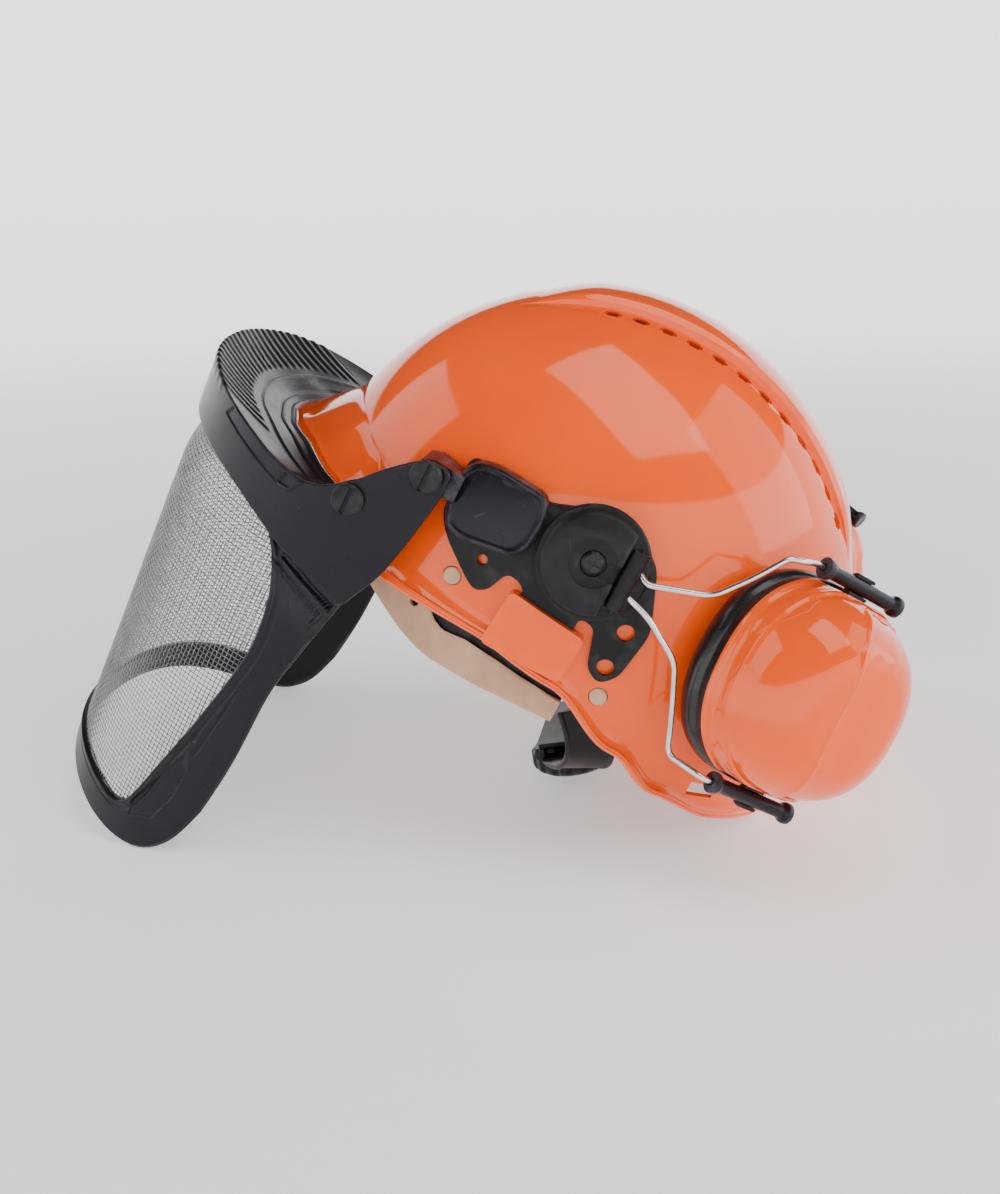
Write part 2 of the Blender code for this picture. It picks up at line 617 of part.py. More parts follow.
def frame_inset(along, z):
    """How far the frame's face lies inside the guard's: more where it tucks in behind it."""
    low, _ = guard_levels(along)
    share = min(max((low - z - 0.0012) / FRAME_FLARE, 0.0), 1.0)
    share = share * share * (3 - 2 * share)
    return FRAME_INSET_BEHIND + (FRAME_INSET_BELOW - FRAME_INSET_BEHIND) * share


def frame_loops(steps=2):
    """Outer and opening edges of the frame, as (travel, height) pairs round the full loop."""
    half = [(travel(a), b, travel(c), d) for a, b, c, d in FRAME_STATIONS]
    half[0] = (0.0, half[0][1], 0.0, half[0][3])
    half[-1] = (0.0, half[-1][1], 0.0, half[-1][3])
    full = half + [(-a, b, -c, d) for a, b, c, d in reversed(half[1:-1])]
    return smooth_steps(full, steps, closed=True)


def build_visor_frame():
    rings = []
    for a, b, c, d in frame_loops():
        section = []
        for depth in (0.0, FRAME_THICK):
            row = []
            for share in (0.0, 0.5, 1.0):
                along, z = a + (c - a) * share, b + (d - b) * share
                row.append(visor_point(along, z, frame_inset(along, z) + depth))
            section.append(row)
        rings.append(section[0] + list(reversed(section[1])))
    return add_part("visor_frame", ring_loft(rings), BLACK_SATIN, origin=(0, PIVOT.y, PIVOT.z))


def build_visor_mesh():
    """The woven screen, filling the frame's opening edge to edge."""
    loops = [(c, d) for _, _, c, d in frame_loops()]
    half = len(loops) // 2
    turn = max(range(half), key=lambda i: loops[i][0])
    low_edge, high_edge = loops[:turn + 1], list(reversed(loops[turn:half + 1]))
    columns, inner = [], []
    stops = 12
    for k in range(1 - stops, stops):
        share = abs(k) / stops
        low, high = loop_point(low_edge, share), loop_point(high_edge, share)
        column, back = [], []
        for i in range(5):
            along = low[0] + (high[0] - low[0]) * i / 4
            z = low[1] + MESH_MARGIN + (high[1] - low[1] - 2 * MESH_MARGIN) * i / 4
            inset = frame_inset(along, z) + MESH_SINK
            along = math.copysign(along, k) if k else 0.0
            column.append(visor_point(along, z, inset))
            back.append(visor_point(along, z, inset + MESH_THICK))
        columns.append(column)
        inner.append(back)
    return add_part("visor_mesh", thick_sheet(columns, inner), STEEL_MESH,
                    origin=(0, PIVOT.y, PIVOT.z))


def loop_point(points, share):
    """A point at a share of the way through a list of points."""
    spot = share * (len(points) - 1)
    i = min(int(spot), len(points) - 2)
    return tuple(p + (q - p) * (spot - i) for p, q in zip(points[i], points[i + 1]))


# ================================================================ ear muffs
def hub_matrix():
    out = Vector((math.cos(HUB_TILT), 0, math.sin(HUB_TILT)))
    up = Vector((-math.sin(HUB_TILT), 0, math.cos(HUB_TILT)))
    return frame_matrix(HUB_CENTRE, Vector((0, 1, 0)), up, out)


def cup_matrix():
    """Local X lies along the guide rods, local Y up and local Z out of the cup."""
    out = Vector((math.cos(CUP_TURN) * math.cos(CUP_LEAN),
                  math.sin(CUP_TURN) * math.cos(CUP_LEAN), math.sin(CUP_LEAN)))
    along = Vector((-math.sin(CUP_TURN), math.cos(CUP_TURN), 0))
    up = out.cross(along)
    roll = Matrix.Rotation(CUP_ROLL, 4, "Z")
    return frame_matrix(CUP_CENTRE, along, up, out) @ roll


def cup_ring(matrix, half_length, half_height, level, count=32):
    ring = []
    for k in range(count):
        a = math.tau * k / count
        c, s = math.cos(a), math.sin(a)
        e = 2 / CUP_POWER
        ring.append(matrix @ Vector((half_length * math.copysign(abs(c) ** e, c),
                                     half_height * math.copysign(abs(s) ** e, s), level)))
    return ring


def cup_body(profile, matrix, count=32):
    """Skin rings given as (margin inside the cup's outline, level), first to last."""
    return loft([cup_ring(matrix, CUP_HALF_LENGTH - m, CUP_HALF_HEIGHT - m, level, count)
                 for m, level in profile])


def cup_band(profile, matrix, count=32):
    """Like cup_body, for a profile that closes on itself round an opening."""
    rings = [cup_ring(matrix, CUP_HALF_LENGTH - m, CUP_HALF_HEIGHT - m, level, count)
             for m, level in profile]
    columns = [list(c) for c in zip(*rings)]
    return ring_loft(columns)


def build_muff(side, hand):
    hub = hub_matrix()
    disc = turned(((HUB_RADIUS, 0.0), (HUB_RADIUS, HUB_BASE)), hub, 30)
    item = add_part("muff_hub_" + side, disc, BLACK, HUB_CENTRE, hand)
    face = turned(((HUB_RADIUS - 0.0010, HUB_BASE - 0.001), (HUB_RADIUS - 0.0010, HUB_FACE - 0.001),
                   (HUB_RADIUS - 0.0022, HUB_FACE)), hub, 30)
    boolean(item, face, "UNION", hand)
    notch = block((0.030, 0.060, 0.010), (HUB_CHORD + 0.015, 0, HUB_BASE + 0.0003 + 0.005), hub)
    boolean(item, notch, "DIFFERENCE", hand)
    bore = turned(((SCREW_SHANK + GAP, -0.002), (SCREW_SHANK + GAP, HUB_FACE - 0.0035),
                   (0.0052, HUB_FACE - 0.0035), (0.0052, HUB_FACE + 0.002)), hub, 20)
    boolean(item, bore, "DIFFERENCE", hand)

    screw_body = turned(((SCREW_SHANK, -0.0028), (SCREW_SHANK, HUB_FACE - 0.0032),
                         (0.0048, HUB_FACE - 0.0032), (0.0048, HUB_FACE - 0.0013),
                         (0.0036, HUB_FACE - 0.0004)), hub, 20)
    screw_part = add_part("hub_screw_" + side, screw_body, STEEL_DARK, HUB_CENTRE, hand)
    cross = [block((0.0058, 0.0011, 0.0030), (0, 0, HUB_FACE), hub),
             block((0.0011, 0.0058, 0.0030), (0, 0, HUB_FACE), hub)]
    for cut in cross:
        boolean(screw_part, cut, "DIFFERENCE", hand)

    def hinge_line(half_length):
        return [hub @ Vector((HOLDER_REACH, v * half_length, HOLDER_HEIGHT)) for v in (-1, 1)]

    hinge = hub @ Vector((HOLDER_REACH, 0, HOLDER_HEIGHT))
    add_part("hinge_pin_" + side, bar(hinge_line(HINGE_PIN_HALF_LENGTH), HINGE_PIN_RADIUS, 12),
             STEEL_DARK, hinge, hand)
    holder = add_part("wire_holder_" + side, bar(hinge_line(HOLDER_HALF_LENGTH), HOLDER_RADIUS, 14),
                      BLACK, hinge, hand)
    pin_bore = bar(hinge_line(HINGE_PIN_HALF_LENGTH), HINGE_PIN_RADIUS + GAP, 12)
    boolean(holder, pin_bore, "DIFFERENCE", hand)
    cup = cup_matrix()
    for name, shape, v in (("upper", UPPER_WIRE, 0.0052), ("lower", LOWER_WIRE, -0.0052)):
        start = hub @ Vector((HOLDER_REACH + WIRE_SEAT, v, HOLDER_HEIGHT))
        rod_v = ROD_OFFSET if name == "upper" else -ROD_OFFSET
        front = cup @ Vector((-ROD_HALF_LENGTH - 0.0040, rod_v, 0))
        inside = cup @ Vector((-ROD_HALF_LENGTH + 0.0120, rod_v, 0))
        corner_path = [start] + [Vector(p) for p in shape] + [front]
        path = smooth_steps([tuple(p) for p in corner_path], 3) + [tuple(inside)]
        add_part(f"yoke_wire_{name}_{side}", bar(path, WIRE_RADIUS, 8), STEEL_WIRE, hinge, hand)
        heading = (Vector(path[1]) - start).normalized()
        bore = bar([start - WIRE_SEAT * heading] + path[:4], WIRE_RADIUS + GAP, 10)
        boolean(holder, bore, "DIFFERENCE", hand)
        build_rod(f"guide_rod_{name}_{side}", cup, rod_v, hinge, hand)
        build_slider(f"cup_slider_{name}_{side}", cup, rod_v, hand)
    build_cup(side, hand, cup)


def rod_matrix(cup, rod_v):
    """Local Z runs along the guide rod."""
    origin = cup @ Vector((0, rod_v, 0))
    turn = cup.to_3x3()
    return frame_matrix(origin, turn @ Vector((0, 1, 0)), turn @ Vector((0, 0, 1)),
                        turn @ Vector((1, 0, 0)))


def build_rod(name, cup, rod_v, origin, hand):
    m = rod_matrix(cup, rod_v)
    end = ROD_HALF_LENGTH
    bore = WIRE_RADIUS + GAP
    profile = ((ROD_FLARE, -end), (ROD_FLARE, -end + 0.0025), (ROD_RADIUS, -end + 0.0045),
               (ROD_RADIUS, end - 0.0045), (ROD_FLARE, end - 0.0020), (ROD_FLARE, end))
    rod = add_part(name, turned(profile, m, 14), BLACK_SATIN, origin, hand, sharp=40)
    boolean(rod, cylinder(m, bore, -end - 0.002, -end + 0.0125, 10), "DIFFERENCE", hand)


def pin_matrix(cup, inward):
    """Local Z runs from a guide rod's middle towards the cup's centre."""
    turn = cup.to_3x3()
    out, towards = turn @ Vector((0, 0, 1)), turn @ Vector((0, inward, 0))
    spot = cup @ Vector((0, -inward * ROD_OFFSET, 0))
    return frame_matrix(spot, out, towards.cross(out), towards)


def build_slider(name, cup, rod_v, hand):
    """The clip that slides on a guide rod and carries the cup's pivot pin."""
    rod = rod_matrix(cup, rod_v)
    slider = add_part(name, cylinder(rod, SLIDER_RADIUS, -0.0050, 0.0050, 14), BLACK,
                      cup @ Vector((0, rod_v, 0)), hand)
    pin = pin_matrix(cup, -1 if rod_v > 0 else 1)
    boolean(slider, cylinder(pin, PIN_SIZE, 0.0040, SLIDER_RADIUS + 0.0040, 12), "UNION", hand)
    boolean(slider, cylinder(rod, ROD_RADIUS + GAP, -0.010, 0.010, 14), "DIFFERENCE", hand)


def cup_profile(inset=0.0, steps=6):
    """Dome of a cup as (margin, level) pairs from its rim to its top: a quarter ellipse."""
    height = CUP_TOP - CUP_SHOULDER
    rows = []
    for k in range(steps + 1):
        a = math.radians(76) * k / steps
        rows.append((CUP_SET_IN + inset + CUP_CROWN * (1 - math.cos(a)),
                     CUP_SHOULDER + (height - inset) * math.sin(a) / math.sin(math.radians(76))))
    return rows


def build_cup(side, hand, cup):
    dome = cup_profile()
    rim = [(0.0, CUP_RIM), (0.0, CUP_RIM + 0.0036), (CUP_SET_IN, CUP_RIM + 0.0048)]
    item = add_part("cup_shell_" + side, cup_body(rim + dome, cup, 28), ORANGE, CUP_CENTRE, hand)
    hollow = [(CUP_SET_IN + CUP_WALL, CUP_RIM - 0.004)] + cup_profile(CUP_WALL, 5)
    boolean(item, cup_body(hollow, cup, 28), "DIFFERENCE", hand)
    for inward in (1, -1):
        pin = pin_matrix(cup, inward)
        boolean(item, cylinder(pin, PIN_SIZE + GAP, 0.0022, SLIDER_RADIUS + 0.0060, 14),
                "DIFFERENCE", hand)
        room = block((0.0200, 0.0330, 0.0120), (-0.0024, 0, SLIDER_RADIUS + GAP - 0.0060), pin)
        boolean(item, room, "DIFFERENCE", hand)
    plate = cup_band(((0.0008, BACKPLATE_BACK), (0.0008, CUSHION_BACK + GAP),
                      (0.0170, CUSHION_BACK + GAP), (0.0170, BACKPLATE_BACK)), cup, 28)
    add_part("cup_backplate_" + side, plate, BLACK, CUP_CENTRE, hand)
    pad = cup_band(((0.0010, CUSHION_BACK), (0.0000, CUSHION_BACK - 0.0040),
                    (0.0015, CUSHION_FACE + 0.0040), (0.0060, CUSHION_FACE),
                    (0.0130, CUSHION_FACE), (0.0180, CUSHION_BACK)), cup, 28)
    add_part("ear_cushion_" + side, pad, CUSHION, CUP_CENTRE, hand)
    foam = cup_body(((0.0190, CUP_RIM), (0.0190, 0.0080), (0.0220, 0.0160)), cup, 20)
    add_part("cup_foam_" + side, foam, FOAM, CUP_CENTRE, hand)


# ================================================================ harness
def band_point(turn, half_width, front):
    return Vector((half_width * math.sin(turn), BAND_CENTRE_Y - front * math.cos(turn), 0))


def band_turns(limit, count):
    return [limit * (2 * k / count - 1) for k in range(count + 1)]


def band_floor(y):
    """Lower edge of the sweatband: low at the sides, higher across the brow."""
    share = min(max((-y - 0.020) / 0.060, 0.0), 1.0)
    return -0.022 + 0.016 * share * share * (3 - 2 * share)


def build_headband():
    limit = math.pi / 2 + BAND_END_Y / BAND_HALF_WIDTH * 0.8
    rings, fold = [], []
    for turn in band_turns(limit, 28):
        path = band_point(turn, BAND_HALF_WIDTH, BAND_FRONT)
        if abs(turn) > math.pi / 2:
            over = (abs(turn) - math.pi / 2) * BAND_HALF_WIDTH
            path = Vector((math.copysign(BAND_HALF_WIDTH - 0.10 * over, turn), over, 0))
        out = Vector((path.x / BAND_HALF_WIDTH ** 2, (path.y - BAND_CENTRE_Y) / BAND_FRONT ** 2, 0))
        if abs(turn) > math.pi / 2:
            out = Vector((path.x, 0, 0))
        out.normalize()
        floor = band_floor(path.y)
        up = Vector((0, 0, 1))

        def at(offset, z):
            return path + out * offset + up * z

        t = BAND_THICK
        rings.append([at(0, floor + 0.004), at(t, floor + 0.004), at(t, floor + 0.036),
                      at(0, floor + 0.036)])
        fold.append([at(-0.0005, floor + 0.0030), at(-0.0005, floor + 0.0330),
                     at(-0.0030, floor + 0.0330), at(-0.0030, floor - 0.0005),
                     at(-0.0005, floor - 0.0020), at(t + 0.0010, floor - 0.0020),
                     at(t + 0.0030, floor - 0.0005), at(t + 0.0024, floor + 0.0160),
                     at(t + 0.0006, floor + 0.0160), at(t + 0.0006, floor + 0.0030)])
    add_part("headband", loft(rings), BLACK)
    add_part("sweatband", loft(fold), TAN)


def build_crown_strap(name, start, end, top, mat):
    """A flat strap over the head between two anchors on opposite sides."""
    rings = []
    count = 22
    middle = (start + end) / 2
    half = (end - start) / 2
    lift = top - middle.z
    for k in range(count + 1):
        a = math.pi * k / count
        spread = -math.cos(a)
        p = Vector((middle.x + half.x * spread, middle.y + half.y * spread,
                    start.z + (end.z - start.z) * k / count + lift * math.sin(a) ** 0.86))
        slope = Vector((half.x * math.sin(a), half.y * math.sin(a), lift * math.cos(a)))
        slope.normalize()
        flat = Vector((half.x, half.y, 0)).normalized()
        sideways = flat.cross(Vector((0, 0, 1)))
        out = sideways.cross(slope).normalized()
        if out.z < 0:
            out = -out
        if k in (0, count):
            out = flat * (-1 if k == 0 else 1)
            slope = Vector((0, 0, 1 if k == 0 else -1))
        rings.append([p - sideways * STRAP_WIDTH / 2, p + sideways * STRAP_WIDTH / 2,
                      p + sideways * STRAP_WIDTH / 2 + out * STRAP_THICK,
                      p - sideways * STRAP_WIDTH / 2 + out * STRAP_THICK])
    add_part(name, loft(rings), mat)


def build_suspension():
    spots = {}
    for place, (y, z) in PIN_SPOTS.items():
        for side, hand in (("left", 1), ("right", -1)):
            x_out = side_x(y, z)
            inner_wall = x_out - SHELL_WALL
            pin = turned(((PIN_RADIUS - 0.0010, inner_wall - 0.0066),
                          (PIN_RADIUS - 0.0010, inner_wall + 0.0004),
                          (PIN_RADIUS, inner_wall + 0.0004), (PIN_RADIUS, x_out + 0.0004),
                          (PIN_RADIUS - 0.0006, x_out + 0.0008)), side_matrix(y, z), 18)
            add_part(f"harness_pin_{place}_{side}", pin, TAN, (x_out, y, z), hand)
            outline = ((y - 0.010, z - 0.009), (y + 0.010, z - 0.009),
                       (y + 0.010, z + 0.011), (y - 0.010, z + 0.011))
            wall = -SHELL_WALL - 0.0011
            anchor = conformed(outline, wall - 0.0056, wall, step=0.02)
            item = add_part(f"strap_anchor_{place}_{side}", anchor, BLACK, hand=hand)
            hole = cylinder(side_matrix(y, z), PIN_RADIUS - 0.0005, 0.070, 0.110, 16)
            boolean(item, hole, "DIFFERENCE", hand)
            spots[place, side] = Vector((hand * (inner_wall - 0.0078), y, z + 0.0118))
    build_crown_strap("crown_strap_lower", spots["front", "left"], spots["rear", "right"],
                      STRAP_TOP, WEBBING)
    build_crown_strap("crown_strap_upper", spots["front", "right"], spots["rear", "left"],
                      STRAP_TOP + 0.0050, WEBBING)


def knob_matrix():
    """Local Z points out of the knob, down and to the rear; local Y runs along the strap."""
    out = Vector((0, math.sin(KNOB_TILT), -math.cos(KNOB_TILT)))
    return frame_matrix(KNOB_CENTRE, Vector((1, 0, 0)), out.cross(Vector((1, 0, 0))), out)


def build_nape():
    m = knob_matrix()
    route = ((0.0745, 0.0450, -0.0125), (0.0735, 0.0530, -0.0220), (0.0680, 0.0580, -0.0335),
             (0.0560, 0.0575, -0.0440), (0.0430, 0.0535, -0.0500), (0.0304, 0.0509, -0.0547))
    for side, hand in (("left", 1), ("right", -1)):
        points = smooth_steps(route, 3)
        rings = []
        face = m.to_3x3()
        for k, p in enumerate(points):
            share = k / (len(points) - 1)
            p = Vector(p)
            out = Vector((1, 0, 0)).lerp(face @ Vector((0, 0, 1)), share).normalized()
            ahead = Vector(points[min(k + 1, len(points) - 1)]) - Vector(points[max(k - 1, 0)])
            if share == 1.0:
                ahead = Vector((-1, 0, 0))
            wide = out.cross(ahead).normalized() * (0.011 - 0.001 * share)
            out = ahead.cross(wide).normalized() * 0.0022
            if out.dot(face @ Vector((0, 0, 1))) < 0 and share > 0.5:
                out = -out
            rings.append([p - wide, p + wide, p + wide + out, p - wide + out])
        add_part("nape_arm_" + side, loft(rings), BLACK, hand=hand)

    housing = block((0.060, 0.026, 0.0095), (0, 0, -0.0060), m)
    bmesh.ops.bevel(housing, geom=[e for e in housing.edges], offset=0.002, segments=2,
                    affect="EDGES")
    item = add_part("ratchet_housing", housing, BLACK, KNOB_CENTRE)
    boolean(item, block((0.080, 0.0172, 0.0056), (0, 0, -0.0060), m), "DIFFERENCE")
    boolean(item, cylinder(m, 0.0034, -0.0050, 0.004, 18), "DIFFERENCE")

    grip = turned(((KNOB_RADIUS * 0.80, 0.0), (KNOB_RADIUS, 0.0020), (KNOB_RADIUS, 0.0080),
                   (KNOB_RADIUS * 0.84, 0.0112), (KNOB_RADIUS * 0.45, KNOB_DEPTH)), m, 30)
    knob = add_part("ratchet_knob", grip, BLACK_SATIN, KNOB_CENTRE)
    boolean(knob, cylinder(m, 0.0029, -0.0060, 0.001, 18), "UNION")
    boolean(knob, cylinder(m, 0.0036, -0.0083, -0.0040, 12), "UNION")
    for side, v in (("left", 0.0062), ("right", -0.0062)):
        hand = 1 if side == "left" else -1
        tail = block((0.0340, 0.0036, 0.0020), (hand * 0.0090, v, -0.0062), m)
        add_part("ratchet_rack_" + side, tail, BLACK, KNOB_CENTRE)


# ================================================================ assembly
clear_scene()
HELMET = bpy.data.objects.new("helmet_frame", None)
bpy.context.scene.collection.objects.link(HELMET)
HELMET.rotation_euler = (-PITCH, 0, 0)
HELMET.location = REST_SHIFT

ORANGE = make_material("orange_abs", (0.90, 0.17, 0.01), 0.18)
BLACK = make_material("black_polyamide", (0.02, 0.02, 0.022), 0.42)
BLACK_SATIN = make_material("black_satin", (0.03, 0.028, 0.033), 0.34)
STEEL_WIRE = make_material("steel_wire", (0.72, 0.72, 0.74), 0.22, 1.0)
STEEL_DARK = make_material("dark_screw", (0.10, 0.10, 0.11), 0.35, 1.0)
STEEL_MESH = make_material("steel_mesh", (0.55, 0.55, 0.57), 0.35, 1.0)
TAN = make_material("tan_leather", (0.62, 0.40, 0.25), 0.62)
WEBBING = make_material("black_webbing", (0.04, 0.04, 0.045), 0.85)
CUSHION = make_material("cushion_vinyl", (0.015, 0.015, 0.016), 0.28)
FOAM = make_material("grey_foam", (0.18, 0.18, 0.19), 0.95)

build_shell()
for side_name, hand_sign in (("left", 1), ("right", -1)):
    build_carrier(side_name, hand_sign)
    build_muff(side_name, hand_sign)
    screw(f"brow_screw_{side_name}", BROW_SCREW, BROW_SCREW.x - 0.0048,
          BROW_SCREW.x + GUARD_WALL / 2 - 0.0002, hand_sign)
build_brow_guard()
build_visor_frame()
build_visor_mesh()
build_headband()
build_suspension()
build_nape()
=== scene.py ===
"""Looks of the forestry safety helmet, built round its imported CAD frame.

Shapes are laid out in the helmet's own frame (metres, +X the wearer's left, -Y the front, +Z up)
and set down into the shared frame by HELMET, the pitch at which the helmet rests on a table.
Left-hand pieces are built on the +X side and mirrored for the right hand.
"""
import math

import bmesh
import bpy
import numpy as np
from mathutils import Matrix, Vector, noise


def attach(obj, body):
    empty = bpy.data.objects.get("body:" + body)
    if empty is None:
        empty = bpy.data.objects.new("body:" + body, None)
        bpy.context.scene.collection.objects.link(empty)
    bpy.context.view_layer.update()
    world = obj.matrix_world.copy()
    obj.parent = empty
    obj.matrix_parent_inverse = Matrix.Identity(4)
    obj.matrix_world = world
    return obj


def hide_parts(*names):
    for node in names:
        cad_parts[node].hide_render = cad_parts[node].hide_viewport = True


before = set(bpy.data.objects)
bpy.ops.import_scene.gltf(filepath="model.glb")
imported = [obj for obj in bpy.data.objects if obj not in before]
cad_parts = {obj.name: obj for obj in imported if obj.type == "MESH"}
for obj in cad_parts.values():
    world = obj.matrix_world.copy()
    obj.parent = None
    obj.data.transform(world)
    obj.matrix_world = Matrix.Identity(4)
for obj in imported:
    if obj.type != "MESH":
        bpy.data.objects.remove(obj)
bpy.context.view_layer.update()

# ---------------------------------------------------------------- resting pose
PITCH = math.radians(27.3)          # how far the helmet leans back on its rear rim
REST_SHIFT = Vector((0.0, 0.02585, 0.0956))   # puts the resting footprint over the origin
GAP = 0.0003                        # clearance between touching pieces

# ---------------------------------------------------------------- shell
SHELL_CENTRE_Y = 0.0114
SHELL_CENTRE_Z = 0.019
SHELL_HALF_WIDTH = 0.100
SHELL_FRONT = 0.125                 # centre to front, and centre to rear
SHELL_REAR = 0.131
SHELL_RISE = 0.1285
SHELL_POWER = 2.2                   # roundness of the plan outline
SHELL_WALL = 0.0026
# angle from the front (degrees), rim height, brim reach outwards, brim drop
RIM_STATIONS = (
    (0, 0.051, 0.0240, 0.0240), (14, 0.0505, 0.0200, 0.0220), (27, 0.048, 0.0150, 0.0190),
    (42, 0.040, 0.0135, 0.0130), (52, 0.026, 0.0110, 0.009), (62, 0.012, 0.008, 0.006),
    (82, 0.0095, 0.004, 0.004),
    (95, 0.005, 0.004, 0.004), (110, -0.010, 0.004, 0.004), (122, -0.021, 0.004, 0.004),
    (138, -0.026, 0.004, 0.004), (180, -0.028, 0.003, 0.004),
)
RIDGE_HALF_WIDTH = 0.027
RIDGE_RISE = 0.003
RIDGE_FRONT_Y, RIDGE_REAR_Y = -0.062, 0.124
VENT_COUNT = 12
VENT_X = 0.0325
VENT_FIRST, VENT_LAST = math.radians(-15), math.radians(45)
BOSS = ((-0.007, 0.004), (0.029, 0.004), (0.030, 0.025), (-0.005, 0.029))
BOSS_DEPTH = 0.0062
REAR_SLOT = (0.1060, -0.0205)         # y, z of the small rectangular slot in the rear skirt
PIN_SPOTS = {"front": (-0.0290, 0.020), "rear": (0.046, 0.004)}
PIN_RADIUS = 0.0037

# ---------------------------------------------------------------- side carrier
PLATE_THICK = 0.0025
PLATE_OUTLINE = (
    (-0.044, 0.066), (-0.008, 0.065), (0.006, 0.0705), (0.028, 0.0715), (0.042, 0.062),
    (0.052, 0.038), (0.049, 0.016), (0.043, 0.010), (0.036, 0.014), (0.031, 0.0305),
    (0.0240, 0.0315), (0.0240, 0.008), (-0.0005, 0.008), (-0.0005, 0.0315),
    (-0.0095, 0.034), (-0.0135, 0.0235), (-0.0185, 0.0205), (-0.0235, 0.0230),
    (-0.0390, 0.034), (-0.0450, 0.042),
)
PLATE_HOLES = ((0.0430, 0.0340, 0.0036), (0.0425, 0.0175, 0.0036), (-0.0210, 0.0330, 0.0022))
BRACKET_OUTLINE = (
    (-0.0445, 0.0470), (-0.0400, 0.0385), (-0.0330, 0.0375), (-0.0110, 0.0420),
    (-0.0065, 0.0480), (-0.0055, 0.0610), (-0.0095, 0.0685), (-0.0300, 0.0690),
    (-0.0400, 0.0670), (-0.0445, 0.0610),
)
BRACKET_THICK = 0.0080
PIVOT = Vector((0.1052, -0.055, 0.0545))    # visor hinge, on the left wing
BROW_SCREW = Vector((0.1052, -0.079, 0.031))
SCREW_SHANK = 0.0026

# ---------------------------------------------------------------- visor and brow guard
VISOR_HALF_WIDTH = 0.106
VISOR_BACK_Y = -0.079               # where the curved front meets the flat sides
VISOR_DEPTH_TOP, VISOR_DEPTH_BOTTOM = 0.0945, 0.0866
VISOR_DEPTH_TOP_Z, VISOR_DEPTH_BOTTOM_Z = 0.012, -0.151
VISOR_POWER = 2.2
SIDE_RUN = 0.12                     # length of the flat sides per unit of travel
GUARD_WALL = 0.0026
GUARD_STATIONS = (                  # y, lower edge, upper edge of the guard's wall
    (-0.0465, 0.0480, 0.0585), (-0.0480, 0.0380, 0.0600), (-0.0510, 0.0220, 0.0610),
    (-0.0545, 0.0080, 0.0608), (-0.0590, -0.0020, 0.0595), (-0.0640, -0.0110, 0.0555),
    (-0.0720, -0.0085, 0.0480), (-0.0800, -0.0060, 0.0395), (-0.0890, -0.0035, 0.0320),
    (-0.1000, 0.0005, 0.0285), (-0.1150, 0.0065, 0.0305), (-0.1300, 0.0115, 0.0345),
    (-0.1500, 0.0160, 0.0395), (-0.1650, 0.0178, 0.0430), (-0.1735, 0.0185, 0.0450),
)
GUARD_PLATE_THICK = 0.0024
PEAK_CLEARANCE = 0.0007
FRAME_THICK = 0.0028
FRAME_INSET_BELOW, FRAME_INSET_BEHIND = 0.0003, 0.0041   # clear of the guard, and behind it
FRAME_FLARE = 0.024                 # height over which the frame comes out from behind it
# outer edge (y, z) and opening edge (y, z) of the visor frame, from the chin centre round the
# side to the brow centre; y values beyond the curved front mean its centre line
FRAME_STATIONS = (
    (-0.1655, -0.1555, -0.1655, -0.1420), (-0.1620, -0.1560, -0.1620, -0.1420),
    (-0.1480, -0.1580, -0.1490, -0.1425), (-0.1280, -0.1605, -0.1340, -0.1445),
    (-0.1120, -0.1605, -0.1230, -0.1455), (-0.0980, -0.1570, -0.1160, -0.1420),
    (-0.0870, -0.1470, -0.1120, -0.1340), (-0.0795, -0.1290, -0.1075, -0.1190),
    (-0.0755, -0.0990, -0.0990, -0.0900), (-0.0740, -0.0620, -0.0920, -0.0600),
    (-0.0700, -0.0400, -0.0900, -0.0420), (-0.0645, -0.0150, -0.0920, -0.0240),
    (-0.0620, -0.0010, -0.0970, -0.0120), (-0.0740, 0.0010, -0.1010, -0.0050),
    (-0.0890, 0.0040, -0.1070, 0.0020), (-0.1060, 0.0095, -0.1150, 0.0080),
    (-0.1230, 0.0155, -0.1260, 0.0120), (-0.1430, 0.0210, -0.1430, 0.0170),
    (-0.1600, 0.0240, -0.1600, 0.0195), (-0.1735, 0.0250, -0.1735, 0.0205),
)
MESH_SINK, MESH_THICK = 0.0010, 0.0008

# ---------------------------------------------------------------- ear muffs
HUB_CENTRE = Vector((0.1005, 0.018, 0.054))
HUB_TILT = math.radians(12)         # the hub leans with the shell's side
HUB_RADIUS = 0.0230
HUB_BASE, HUB_FACE = 0.0050, 0.0115 # height of the base disc and of the raised face
HUB_CHORD = 0.0105                  # where the raised face is cut straight for the wires
HOLDER_REACH, HOLDER_HEIGHT, HOLDER_RADIUS = 0.0150, 0.0093, 0.0036
HOLDER_HALF_LENGTH = 0.0125
HINGE_PIN_RADIUS, HINGE_PIN_HALF_LENGTH = 0.0010, 0.0138
WIRE_SEAT = 0.0024                  # the wires end this far from the barrel's axis
DRAWN_WIRE = 0.0012                 # the wire's real radius
CUP_TURN = math.radians(31)         # the cup faces this far back from straight sideways
CUP_ROLL = math.radians(-7)
CUP_LEAN = math.radians(13)         # the cup leans in with the shell
CUP_CENTRE = Vector((0.0985, 0.1160, 0.0465))
CUP_HALF_HEIGHT, CUP_HALF_LENGTH, CUP_POWER = 0.0445, 0.0405, 2.3
CUP_RIM, CUP_TOP, CUP_WALL = -0.0075, 0.0330, 0.0030   # levels along the cup's axis
CUSHION_FACE, CUSHION_BACK = -0.0258, -0.0120
BACKPLATE_BACK = -0.0078
CUP_SHOULDER, CUP_SET_IN, CUP_CROWN = 0.0020, 0.0016, 0.0260
SLIDER_RADIUS, PIN_SIZE = 0.0047, 0.0020
ROD_OFFSET = 0.0468                 # cup centre to each guide rod
